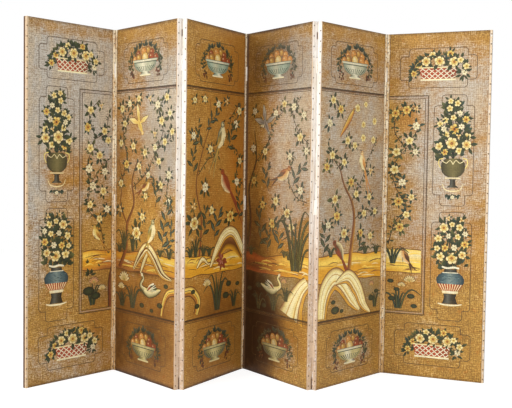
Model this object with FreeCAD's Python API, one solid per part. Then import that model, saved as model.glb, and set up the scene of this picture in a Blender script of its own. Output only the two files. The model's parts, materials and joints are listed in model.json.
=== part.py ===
import FreeCAD, Part
import math
import os

from FreeCAD import Placement, Rotation, Vector

# A six-panel folding screen: painted leather stretched over wooden frames, pale leather
# binding tacked round the upright edges, and butt hinges on alternate faces.
# Millimetres and degrees. Each panel is drawn in its own frame, X from its left edge,
# Y from its painted front to its back and Z up, then turned to its heading.

# Panel size, and the heading of each panel as the screen stands
panel_height = 2130.0
panel_width = 633.0
panel_headings = (48.1, -47.2, 58.0, -52.8, 45.5, -21.7)

# Layers from front to back
binding_thickness = 1.2
leather_thickness = 1.6
frame_thickness = 24.0
lining_thickness = 1.0

# Pale leather binding on the upright edges
binding_flange = 9.5
binding_round = 1.6

# Wooden frame
stile_width = 55.0
bottom_rail_height = 90.0
middle_rail_height = 60.0
top_rail_height = 75.0
middle_rail_count = 2
tenon_length = 34.0
tenon_thickness = 8.0
tenon_shoulder = 12.0

# Domed tacks, in rows down each edge, those of facing edges half a step apart
tack_pitch = 59.0
tack_end_margin = 24.0
tack_side_depth = 7.0
tack_head_radius = 3.2
tack_head_height = 1.0
tack_shank_radius = 0.9
tack_shank_length = 10.0
tack_point_length = 3.0

# Gaps between neighbouring panels: side by side when flat, face to face when folded
side_gap = 2.0
face_gap = 2.0

# Butt hinges
hinge_length = 88.0
hinge_top_drop = 250.0
hinge_bottom_rise = 235.0
leaf_width = 18.0
leaf_thickness = 2.0
leaf_clearance = 0.2
knuckle_radius = 4.0
knuckle_count = 5
knuckle_end_gap = 0.3
knuckle_clearance = 0.5
pin_radius = 1.9
pin_clearance = 0.06
pin_head_radius = 3.2
pin_head_height = 2.0

# Countersunk hinge screws
screws_per_leaf = 3
screw_length = 16.0
screw_shank_radius = 1.6
screw_head_radius = 3.2
screw_head_depth = 1.6
screw_end_margin = 14.0
screw_near_row = 8.0
screw_far_row = 13.0

# Places that follow from the sizes above
leather_front = binding_thickness
frame_front = leather_front + leather_thickness
frame_back = frame_front + frame_thickness
lining_back = frame_back + lining_thickness
panel_thickness = lining_back + binding_thickness
frame_left = binding_thickness
frame_right = panel_width - binding_thickness
frame_bottom = leather_thickness
frame_top = panel_height - leather_thickness
pin_x = -side_gap / 2
pin_y = -face_gap / 2
panel_count = len(panel_headings)
fold_count = panel_count - 1
hinge_centres = (hinge_bottom_rise, panel_height / 2, panel_height - hinge_top_drop)
knuckle_pitch = hinge_length / knuckle_count
up = Vector(0, 0, 1)


def block(x, y, z):
    size = [high - low for low, high in (x, y, z)]
    return Part.makeBox(*size, Vector(x[0], y[0], z[0]))


def upright_cylinder(radius, x, y, z):
    return Part.makeCylinder(radius, z[1] - z[0], Vector(x, y, z[0]), up)


def turned(profile, axis):
    # A solid of revolution about an axis through the origin
    return Part.Face(Part.Wire(profile)).revolve(Vector(), axis, 360)


def at(shape, place, turn=0.0):
    moved = shape.copy()
    moved.Placement = Placement(place, Rotation(up, turn))
    return moved


def on_edge(shape, right, back):
    # Parts drawn at the left edge and the front face, carried to any other edge and face
    if right:
        shape = shape.mirror(Vector(panel_width / 2, 0, 0), Vector(1, 0, 0))
    if back:
        shape = shape.mirror(Vector(0, panel_thickness / 2, 0), Vector(0, 1, 0))
    return shape


# Folds alternate: the first closes front to front, the next back to back
def hinge_at_back(fold):
    return fold % 2 == 1


def hinged_edges(panel):
    # The fold beside each hinged edge, and whether that edge is the right one
    edges = []
    if panel > 0:
        edges.append((panel - 1, False))
    if panel < fold_count:
        edges.append((panel, True))
    return edges


# Wooden frame
def rail_spans():
    bottom = (frame_bottom, frame_bottom + bottom_rail_height)
    top = (frame_top - top_rail_height, frame_top)
    spans = [bottom, top]
    clear = top[0] - bottom[1] - middle_rail_count * middle_rail_height
    step = clear / (middle_rail_count + 1) + middle_rail_height
    for number in range(1, middle_rail_count + 1):
        high = bottom[1] + number * step
        spans.append((high - middle_rail_height, high))
    return spans


def tenon(span, x):
    middle = (frame_front + frame_back) / 2
    depth = (middle - tenon_thickness / 2, middle + tenon_thickness / 2)
    height = (span[0] + tenon_shoulder, span[1] - tenon_shoulder)
    return block(x, depth, height)


def rail(span):
    left = frame_left + stile_width
    right = frame_right - stile_width
    body = block((left, right), (frame_front, frame_back), span)
    left_tenon = tenon(span, (left - tenon_length, left))
    right_tenon = tenon(span, (right, right + tenon_length))
    return body.fuse([left_tenon, right_tenon]).removeSplitter()


def stile(right):
    inner = frame_left + stile_width
    body = block((frame_left, inner), (frame_front, frame_back), (frame_bottom, frame_top))
    mortises = [tenon(span, (inner - tenon_length, inner)) for span in rail_spans()]
    return on_edge(body.cut(mortises), right, False)


# Leather face with its turned edges, and the cloth lining
def leather_face():
    width = (frame_left, frame_right)
    face = block(width, (leather_front, frame_front), (0, panel_height))
    edge = (frame_front, frame_back)
    bottom_turn = block(width, edge, (0, frame_bottom))
    top_turn = block(width, edge, (frame_top, panel_height))
    return face.fuse([bottom_turn, top_turn]).removeSplitter()


def lining():
    return block((frame_left, frame_right), (frame_back, lining_back), (0, panel_height))


# One strip of binding, folded round the edge
def binding_strip(right):
    height = (0, panel_height)
    outside = block((0, binding_flange), (0, panel_thickness), height)
    corners = [e for e in outside.Edges if is_outer_corner(e)]
    outside = outside.makeFillet(binding_round, corners)
    inside = block((frame_left, binding_flange), (leather_front, lining_back), height)
    return on_edge(outside.cut(inside), right, False)


def is_outer_corner(edge):
    low, high = (v.Point for v in edge.Vertexes)
    upright = abs(high.z - low.z) > panel_height / 2
    return upright and abs(low.x) < binding_thickness / 2


# Hinges, drawn at the left edge with the pin in front of the face
def hinge_span(centre):
    return centre - hinge_length / 2, centre + hinge_length / 2


def hinge_cut(centre):
    low, high = hinge_span(centre)
    seat = block(
        (pin_x, leaf_thickness),
        (pin_y, leaf_width + leaf_clearance),
        (low - leaf_clearance, high + leaf_clearance),
    )
    swing = upright_cylinder(
        knuckle_radius + knuckle_clearance,
        pin_x,
        pin_y,
        (low - knuckle_clearance, high + pin_head_height + knuckle_clearance),
    )
    return seat.fuse(swing)


def knuckle_spans(centre, first):
    # Every second knuckle, short of its neighbours by half the end gap at each inner end
    low = hinge_span(centre)[0]
    spans = []
    for number in range(first, knuckle_count, 2):
        bottom = low + number * knuckle_pitch
        top = bottom + knuckle_pitch
        if number > 0:
            bottom += knuckle_end_gap / 2
        if number < knuckle_count - 1:
            top -= knuckle_end_gap / 2
        spans.append((bottom, top))
    return spans


def hinge_leaf(centre, first):
    span = hinge_span(centre)
    plate = block((0, leaf_thickness), (0, leaf_width), span)
    room = knuckle_radius + knuckle_clearance
    plate = plate.cut(upright_cylinder(room, pin_x, pin_y, span))
    knuckles = []
    for stretch in knuckle_spans(centre, first):
        knuckles.append(upright_cylinder(knuckle_radius, pin_x, pin_y, stretch))
        knuckles.append(block((0, leaf_thickness), (pin_y, room), stretch))
    leaf = plate.fuse(knuckles).removeSplitter()
    bore = upright_cylinder(pin_radius + pin_clearance, pin_x, pin_y, span)
    return leaf.cut([bore] + leaf_screws(centre))


def hinge_pin(centre):
    low, high = hinge_span(centre)
    shank = upright_cylinder(pin_radius, pin_x, pin_y, (low, high))
    head = upright_cylinder(pin_head_radius, pin_x, pin_y, (high, high + pin_head_height))
    return shank.fuse(head).removeSplitter()


def screw():
    # Along X, with its flat head at the origin
    points = [
        Vector(0, 0, 0),
        Vector(0, screw_head_radius, 0),
        Vector(screw_head_depth, screw_shank_radius, 0),
        Vector(screw_length - screw_shank_radius, screw_shank_radius, 0),
        Vector(screw_length, 0, 0),
        Vector(0, 0, 0),
    ]
    return turned(Part.makePolygon(points), Vector(1, 0, 0))


def leaf_screws(centre):
    first = hinge_span(centre)[0] + screw_end_margin
    step = (hinge_length - 2 * screw_end_margin) / (screws_per_leaf - 1)
    rows = (screw_near_row, screw_far_row)
    places = [Vector(0, rows[n % 2], first + n * step) for n in range(screws_per_leaf)]
    return [at(screw(), place) for place in places]


# Tacks
def tack():
    # Along Y, with the underside of its head at the origin
    dome = Vector(0, -tack_head_height, 0)
    rim = Vector(tack_head_radius, 0, 0)
    ball = (tack_head_radius**2 + tack_head_height**2) / (2 * tack_head_height)
    half = math.asin(tack_head_radius / ball) / 2
    crown = Vector(ball * math.sin(half), ball * (1 - math.cos(half)) - tack_head_height, 0)
    shoulder = Vector(tack_shank_radius, 0, 0)
    taper = Vector(tack_shank_radius, tack_shank_length - tack_point_length, 0)
    point = Vector(0, tack_shank_length, 0)
    profile = [
        Part.Arc(dome, crown, rim).toShape(),
        Part.makeLine(rim, shoulder),
        Part.makeLine(shoulder, taper),
        Part.makeLine(taper, point),
        Part.makeLine(point, dome),
    ]
    return turned(profile, Vector(0, 1, 0))


def tack_heights(right, hinged):
    # Evenly spaced, the left edge half a step up, leaving out those that would meet a hinge
    run = panel_height - 2 * tack_end_margin
    steps = round(run / tack_pitch)
    step = run / steps
    low = tack_end_margin
    heights = [low + step * n for n in range(steps + 1)]
    if not right:
        heights = [low + step * (n + 0.5) for n in range(steps)]
    if not hinged:
        return heights
    reach = hinge_length / 2 + pin_head_height + knuckle_clearance + tack_head_radius
    return [z for z in heights if all(abs(z - c) > reach for c in hinge_centres)]


def hinge_side(panel, right):
    for fold, on_right in hinged_edges(panel):
        if on_right == right:
            return "back" if hinge_at_back(fold) else "front"
    return "none"


def edge_tacks(panel, right):
    # One row on the front of the binding, or on its side where the fold turns away from
    # the front, and one row on its back
    side = hinge_side(panel, right)
    edge = panel_width if right else 0.0
    flange = binding_flange / 2
    inset = edge - flange if right else flange
    front = (Vector(inset, 0, 0), 0.0)
    outward = (Vector(edge, tack_side_depth, 0), 90.0 if right else -90.0)
    behind = (Vector(inset, panel_thickness, 0), 180.0)
    shown = outward if side == "back" else front
    one = tack()
    tacks = []
    for (place, turn), hinged in ((shown, side != "none"), (behind, side == "back")):
        for z in tack_heights(right, hinged):
            tacks.append(at(one, place + Vector(0, 0, z), turn))
    return tacks


# One panel's pieces, each a list of solids
def panel_pieces(panel):
    cuts = []
    leaves = []
    screws = []
    for fold, right in hinged_edges(panel):
        back = hinge_at_back(fold)
        first = 0 if right else 1
        for centre in hinge_centres:
            cuts.append(on_edge(hinge_cut(centre), right, back))
            leaves.append(on_edge(hinge_leaf(centre, first), right, back))
            screws += [on_edge(s, right, back) for s in leaf_screws(centre)]
    return {
        "left_stile": [stile(False).cut(cuts)],
        "right_stile": [stile(True).cut(cuts)],
        "rails": [rail(span) for span in rail_spans()],
        "leather_face": [leather_face().cut(cuts)],
        "back_lining": [lining().cut(cuts)],
        "edge_binding": [binding_strip(right).cut(cuts) for right in (False, True)],
        "tacks": edge_tacks(panel, False) + edge_tacks(panel, True),
        "hinge_leaves": leaves,
        "hinge_screws": screws,
    }


# Panels chained fold by fold
def fold_depth(fold):
    return panel_thickness - pin_y if hinge_at_back(fold) else pin_y


def panel_places():
    places = []
    start = Vector()
    for panel, heading in enumerate(panel_headings):
        places.append(Placement(start, Rotation(up, heading)))
        if panel < fold_count:
            axis = fold_axis(places, panel)
            onward = Rotation(up, panel_headings[panel + 1])
            start = axis - onward.multVec(Vector(pin_x, fold_depth(panel), 0))
    return places


def fold_axis(places, fold):
    return places[fold].multVec(Vector(panel_width - pin_x, fold_depth(fold), 0))


def node_shapes(places):
    nodes = {}
    for panel, place in enumerate(places):
        for piece, solids in panel_pieces(panel).items():
            nodes[f"panel_{panel + 1}_{piece}"] = in_place(solids, place)
    for fold in range(fold_count):
        pins = [on_edge(hinge_pin(c), True, hinge_at_back(fold)) for c in hinge_centres]
        nodes[f"fold_{fold + 1}_hinge_pins"] = in_place(pins, places[fold])
    return nodes


def in_place(solids, place):
    # Single-solid results of a cut are unwrapped, so that each node is plain solids
    plain = [solid for shape in solids for solid in shape.Solids]
    group = Part.makeCompound(plain) if len(plain) > 1 else plain[0].copy()
    group.Placement = place.multiply(group.Placement)
    return group


def main():
    os.makedirs("parts", exist_ok=True)
    places = panel_places()
    nodes = node_shapes(places)
    box = FreeCAD.BoundBox()
    for shape in nodes.values():
        box.add(shape.BoundBox)
    shift = Vector(-box.Center.x, -box.Center.y, -box.ZMin)
    for name, shape in nodes.items():
        shape.translate(shift)
        shape.exportStep(f"parts/{name}.step")
    print("size", round(box.XLength, 3), round(box.YLength, 3), round(box.ZLength, 3))
    for panel, place in enumerate(places):
        corner = place.Base + shift
        print("panel", panel + 1, "corner", round(corner.x, 3), round(corner.y, 3))
    for fold in range(fold_count):
        axis = fold_axis(places, fold) + shift
        print("fold", fold + 1, "axis", round(axis.x, 3), round(axis.y, 3))


main()
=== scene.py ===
import json
import math
import random

import bmesh
import bpy
from mathutils import Matrix, Vector, geometry, noise


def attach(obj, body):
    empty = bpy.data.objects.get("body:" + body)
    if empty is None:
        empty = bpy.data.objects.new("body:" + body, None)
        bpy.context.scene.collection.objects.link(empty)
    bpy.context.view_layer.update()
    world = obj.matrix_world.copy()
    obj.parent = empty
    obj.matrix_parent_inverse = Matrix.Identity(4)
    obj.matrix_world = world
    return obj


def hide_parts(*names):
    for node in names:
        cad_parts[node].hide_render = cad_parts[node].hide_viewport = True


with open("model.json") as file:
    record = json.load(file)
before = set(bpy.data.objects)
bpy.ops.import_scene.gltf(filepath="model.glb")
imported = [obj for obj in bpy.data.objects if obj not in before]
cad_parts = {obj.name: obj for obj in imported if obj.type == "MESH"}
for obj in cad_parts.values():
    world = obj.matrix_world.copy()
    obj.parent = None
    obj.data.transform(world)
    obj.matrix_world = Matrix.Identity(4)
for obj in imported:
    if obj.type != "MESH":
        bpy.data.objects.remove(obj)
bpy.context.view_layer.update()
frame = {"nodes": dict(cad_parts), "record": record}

nodes = frame["nodes"]
record = frame["record"]
tau = math.tau

screen = {
    "headings": (48.1, -47.2, 58.0, -52.8, 45.5, -21.7),  # turn of each panel, left to right
    "width": 0.633,
    "height": 2.130,
    "binding": 0.0012,  # layers from the painted front to the back
    "leather": 0.0016,
    "frame": 0.0240,
    "lining": 0.0010,
    "flange": 0.0095,  # how far the binding laps onto the face
}
panelNumbers = range(1, len(screen["headings"]) + 1)
panelWidth = screen["width"]
panelHeight = screen["height"]
leatherFront = screen["binding"]
frameFront = leatherFront + screen["leather"]
frameBack = frameFront + screen["frame"]
liningBack = frameBack + screen["lining"]
panelThick = liningBack + screen["binding"]


# a panel's own frame: X along it from its left edge, Y from front to back, Z up
def panelPlace(panel):
    mount = next(m for m in record["mounts"] if m["name"] == f"panel_{panel}_bottom_edge")
    turn = Matrix.Rotation(math.radians(screen["headings"][panel - 1]), 4, "Z")
    middle = Vector((panelWidth / 2, (leatherFront + frameBack) / 2, 0))
    return Matrix.Translation(mount["pos_m"]) @ turn @ Matrix.Translation(-middle)


# the painter's view of a panel: u across, v up, and how far a coat stands off the leather
def canvasPlace(panel):
    axes = Matrix(((1, 0, 0, 0), (0, 0, -1, leatherFront), (0, 1, 0, 0), (0, 0, 0, 1)))
    return panelPlace(panel) @ axes


smoothAngle = 40  # edges sharper than this stay sharp


def newPiece(name, bm, material, body, smooth=None):
    mesh = bpy.data.meshes.new(name)
    bm.to_mesh(mesh)
    bm.free()
    mesh.materials.append(material)
    if smooth is not None:
        mesh.shade_smooth()
        mesh.set_sharp_from_angle(angle=math.radians(smooth))
    piece = bpy.data.objects.new(name, mesh)
    bpy.context.collection.objects.link(piece)
    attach(piece, body)
    return piece


def ease(low, high, x):
    t = min(max((x - low) / (high - low), 0.0), 1.0)
    return t * t * (3 - 2 * t)


# a paint chip in 0 to 255, as a linear colour
def chip(red, green, blue):
    def linear(c):
        c = c / 255
        return c / 12.92 if c <= 0.04045 else ((c + 0.055) / 1.055) ** 2.4
    return (linear(red), linear(green), linear(blue), 1.0)


def between(a, b, t):
    return tuple(x + (y - x) * t for x, y in zip(a, b))


# shader sockets as plain Python values
class Wire:
    def __init__(self, tree, socket=None):
        self.tree = tree
        self.socket = socket

    def make(self, kind, settings=None, sockets=None, out=0):
        node = self.tree.nodes.new(kind)
        for key, value in (settings or {}).items():
            if key == "stops":
                ramp = node.color_ramp
                while len(ramp.elements) < len(value):
                    ramp.elements.new(0.5)
                for element, (place, colour) in zip(ramp.elements, value):
                    element.position = place
                    element.color = colour
            else:
                setattr(node, key, value)
        for key, value in (sockets or {}).items():
            if isinstance(value, Wire):
                self.tree.links.new(value.socket, node.inputs[key])
            else:
                node.inputs[key].default_value = value
        return Wire(self.tree, node.outputs[out]) if len(node.outputs) else node

    def maths(self, operation, a, b=0.0):
        return self.make("ShaderNodeMath", {"operation": operation}, {0: a, 1: b})

    def __add__(self, other):
        return self.maths("ADD", self, other)

    def __sub__(self, other):
        return self.maths("SUBTRACT", self, other)

    def __rsub__(self, other):
        return self.maths("SUBTRACT", other, self)

    def __mul__(self, other):
        return self.maths("MULTIPLY", self, other)

    __radd__ = __add__
    __rmul__ = __mul__

    def ramp(self, low, high):
        settings = {"interpolation_type": "SMOOTHSTEP"}
        return self.make("ShaderNodeMapRange", settings, {"Value": self, "From Min": low, "From Max": high})

    def port(self, number):
        return Wire(self.tree, self.socket.node.outputs[number])

    def colour(self, a, b, blend="MIX"):
        settings = {"data_type": "RGBA", "blend_type": blend}
        return self.make("ShaderNodeMix", settings, {0: self, 6: a, 7: b}, out=2)


def newMaterial(name):
    material = bpy.data.materials.new(name)
    material.use_nodes = True
    tree = material.node_tree
    tree.nodes.clear()
    return material, Wire(tree)


def finishMaterial(wire, bump, strength, distance, sockets):
    raised = {"Strength": strength, "Distance": distance, "Height": bump}
    normal = wire.make("ShaderNodeBump", None, raised)
    shader = wire.make("ShaderNodeBsdfPrincipled", None, {**sockets, "Normal": normal})
    wire.make("ShaderNodeOutputMaterial", None, {"Surface": shader})


def noiseAt(wire, vector, scale, detail=4.0, rough=0.55, swirl=0.0):
    sockets = {"Vector": vector, "Scale": scale, "Detail": detail, "Roughness": rough, "Distortion": swirl}
    return wire.make("ShaderNodeTexNoise", None, sockets)


# noise drawn out along an axis, by a scale for each
def streaksAt(wire, vector, scales, detail=4.0, rough=0.55, swirl=0.0):
    drawn = wire.make("ShaderNodeMapping", None, {"Vector": vector, "Scale": scales})
    return noiseAt(wire, drawn, 1.0, detail, rough, swirl)


def surfaceOf(wire):
    return wire.make("ShaderNodeUVMap", {"uv_map": "surface"})


def placeOf(wire):
    return wire.make("ShaderNodeTexCoord", None, None, out=3)


def heightOf(wire, place):
    return wire.make("ShaderNodeSeparateXYZ", None, {"Vector": place}, out=2)


def attributeOf(wire, name, out=0):
    return wire.make("ShaderNodeAttribute", {"attribute_name": name}, None, out=out)


# lines tooled across the face: a coarse square grid with a finer hatch inside it
hatch = {"grid": 0.0112, "waver": 1.0, "fine": 0.0037, "fineWaver": 0.6}
waveLength = tau / 20  # of a wave texture at scale 1


def tooledLines(wire, surface, pitch, direction, waver):
    settings = {"wave_type": "BANDS", "bands_direction": direction, "wave_profile": "SIN"}
    sockets = {"Vector": surface, "Scale": waveLength / pitch, "Distortion": waver}
    return wire.make("ShaderNodeTexWave", settings, {**sockets, "Detail": 1.0, "Detail Scale": 0.6}, out=1)


def tooling(wire, surface):
    across = tooledLines(wire, surface, hatch["grid"], "X", hatch["waver"])
    along = tooledLines(wire, surface, hatch["grid"], "Y", hatch["waver"])
    fineAcross = tooledLines(wire, surface, hatch["fine"], "X", hatch["fineWaver"])
    fineAlong = tooledLines(wire, surface, hatch["fine"], "Y", hatch["fineWaver"])
    return across, along, fineAcross * fineAlong


# gilt leather ground: yellow varnish over silver leaf, worn through in places, with brown grime that also
# carries painted shade deep in the folds
ground = {
    "goldLight": chip(228, 188, 104),
    "gold": chip(190, 144, 66),
    "goldDeep": chip(128, 94, 42),
    "amber": chip(184, 114, 30),
    "silver": chip(207, 204, 196),
    "silverWarm": chip(218, 203, 178),
    "silverDeep": chip(148, 141, 130),
    "tan": chip(186, 158, 118),
    # dark brown for grime, and for the painted shade in the folds
    "grimeAndShade": chip(60, 34, 10),
    "water": chip(136, 114, 66),
    "tooled": (0.42, 0.34, 0.26, 1.0),  # by how much the tooled lines darken it, and the grain lightens it
    "grain": (1.12, 1.1, 1.06, 1.0),
}


def groundMaterial():
    material, wire = newMaterial("giltLeather")
    surface = surfaceOf(wire)
    tone = attributeOf(wire, "tone")
    silverTone = wire.make("ShaderNodeSeparateColor", None, {"Color": tone})
    grimeShadeTone = silverTone.port(1)
    waterTone = silverTone.port(2)
    amberTone = tone.port(3)
    across, along, fine = tooling(wire, surface)
    cloud = noiseAt(wire, surface, 5.5, 5.0)
    blotch = noiseAt(wire, surface, 24.0, 5.0, 0.65)
    fleck = noiseAt(wire, surface, 110.0, 3.0, 0.6)
    drift = streaksAt(wire, surface, (5.0, 9.0, 1.0))
    dashUp = streaksAt(wire, surface, (190.0, 26.0, 1.0), 3.0, 0.6)
    dashOver = streaksAt(wire, surface, (22.0, 240.0, 1.0), 3.0, 0.6)
    grain = noiseAt(wire, surface, 420.0, 3.0)

    woven = dashUp * 0.42 + dashOver * 0.58
    grid = across * 0.5 + along * 0.5
    dusk = (cloud * 0.2 + fleck * 0.35 + woven * 0.45).ramp(0.40, 0.58)
    gold = dusk.colour(ground["goldDeep"], ground["gold"])
    gold = (drift * 0.2 + fleck * 0.3 + woven * 0.5).ramp(0.50, 0.64).colour(gold, ground["goldLight"])
    gold = (blotch.ramp(0.53, 0.72) * 0.5 + amberTone * 0.8).colour(gold, ground["amber"])
    tarnish = streaksAt(wire, surface, (13.0, 4.0, 1.0))
    silver = tarnish.ramp(0.42, 0.60).colour(ground["silver"], ground["silverWarm"])
    silver = (woven * 0.6 + fleck * 0.4).ramp(0.40, 0.60).colour(ground["silverDeep"], silver)
    silver = (cloud.ramp(0.54, 0.74) * 0.4 + amberTone).colour(silver, ground["tan"])
    worn = silverTone + (drift - 0.5) * 1.0 + (woven - 0.5) * 1.6
    worn = worn + (fleck - 0.5) * 0.8 + (blotch - 0.5) * 0.5
    base = worn.ramp(0.15, 0.90).colour(gold, silver)
    base = (waterTone * (cloud * 0.6 + 0.55)).ramp(0.15, 1.0).colour(base, ground["water"])
    tooled = (1 - grid).ramp(0.45, 0.85) * (blotch * 0.7 + 0.06)
    base = tooled.colour(base, ground["tooled"], "MULTIPLY")
    # grime, and painted shade: the grime tone darkens the corners of the valley folds and the low parts as
    # shadow would
    grimedAndShaded = grimeShadeTone * (cloud * 0.7 + blotch * 0.5 + 0.4)
    base = grimedAndShaded.ramp(0.03, 1.0).colour(base, ground["grimeAndShade"])
    base = (grain - 0.3).ramp(0.0, 0.55).colour(base, ground["grain"], "MULTIPLY")

    roughness = 0.48 + (blotch - 0.5) * 0.25 + grimeShadeTone * 0.12
    height = grid * 0.4 + fine * 0.35 + grain * 0.25 + woven * 0.6
    sockets = {"Base Color": base, "Roughness": roughness, "Specular IOR Level": 0.3}
    finishMaterial(wire, height, 0.35, 0.0012, sockets)
    return material


# paint coats take their colour from the brush, and the tooling shows through them
coatShade = {"brush": (0.56, 0.50, 0.42, 1.0), "tooled": (0.36, 0.27, 0.2, 1.0)}


def paintMaterial():
    material, wire = newMaterial("paintCoat")
    surface = surfaceOf(wire)
    paint = attributeOf(wire, "paint")
    rub = paint.port(3)
    across, along, fine = tooling(wire, surface)
    brush = noiseAt(wire, surface, 90.0, 4.0)
    mottle = noiseAt(wire, surface, 16.0, 4.0)
    flake = noiseAt(wire, surface, 230.0, 3.0)
    grid = across * 0.5 + along * 0.5
    shade = (brush * 0.5 + mottle * 0.5).ramp(0.58, 0.36) * 0.5
    base = shade.colour(paint, coatShade["brush"], "MULTIPLY")
    base = ((1 - grid).ramp(0.5, 0.85) * 0.2).colour(base, coatShade["tooled"], "MULTIPLY")
    rubbed = (flake * 0.5 + brush * 0.3 + mottle * 0.2 + rub * 0.12).ramp(0.58, 0.68)
    base = (rubbed * 0.6).colour(base, ground["gold"])
    sockets = {"Base Color": base, "Roughness": 0.5 + (brush - 0.5) * 0.3, "Specular IOR Level": 0.3}
    finishMaterial(wire, brush * 0.5 + fine * 0.3 + grid * 0.3, 0.25, 0.0008, sockets)
    return material


# binding strips, hand cut, so that their edges waver
strips = {
    "cutStep": 0.030,
    "waver": 0.0006,
    "valleyWaver": 0.0013,
    "waverSize": 0.045,
    "puff": 0.00025,
    "puffIn": 0.002,
    "valleyLap": 0.0190,  # they lap further onto the face where a fold opens to the viewer
    "freeLap": 0.0140,  # and at the outer edges
    "insetUnit": 0.010,  # for the material, of the way across the face
    "bead": 0.0013,  # the leather stands out in a bead along each fold
    "beadRound": 0.0016,
    "crest": 0.00097,  # its crest stops just short of the hinge pin's line
    "hinges": (0.235, 1.065, 1.880),
    "hingeRoom": 0.0445,
    "hingeTaper": 0.0008,
    # soil on each edge strip; on panel 4's left edge, deep in fold 3, it is partly painted shade
    "soil": {  # by panel, and whether it is the right-hand edge
        (1, False): 0.24, (1, True): 0.12, (2, False): 0.10, (3, True): 0.22,
        (4, False): 1.0, (5, True): 0.12, (6, False): 0.10,
    },
}
valleyFolds = (1, 3, 5)  # folds that open towards the viewer

# pale binding leather, stained low down, darkened in the folds by dirt and painted shade, and rusty round the
# tacks
tacking = {"step": 2.082 / 35, "first": 0.024, "sideDepth": 0.007}
pale = {
    "clean": chip(238, 232, 224),
    "cream": chip(222, 206, 182),
    "valley": chip(252, 238, 204),
    "gilt": chip(204, 156, 86),
    "thread": chip(138, 100, 64),
    "aged": chip(212, 184, 144),
    "stain": chip(206, 180, 152),
    "rose": chip(172, 144, 128),
    "tan": chip(196, 158, 112),
    "soil": chip(104, 76, 52),
    # dark brown for dirt and chips, and for the painted shade in the folds
    "dirtAndShade": chip(84, 54, 30),
    "bare": chip(92, 64, 42),  # back half of the outer edges
}


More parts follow.
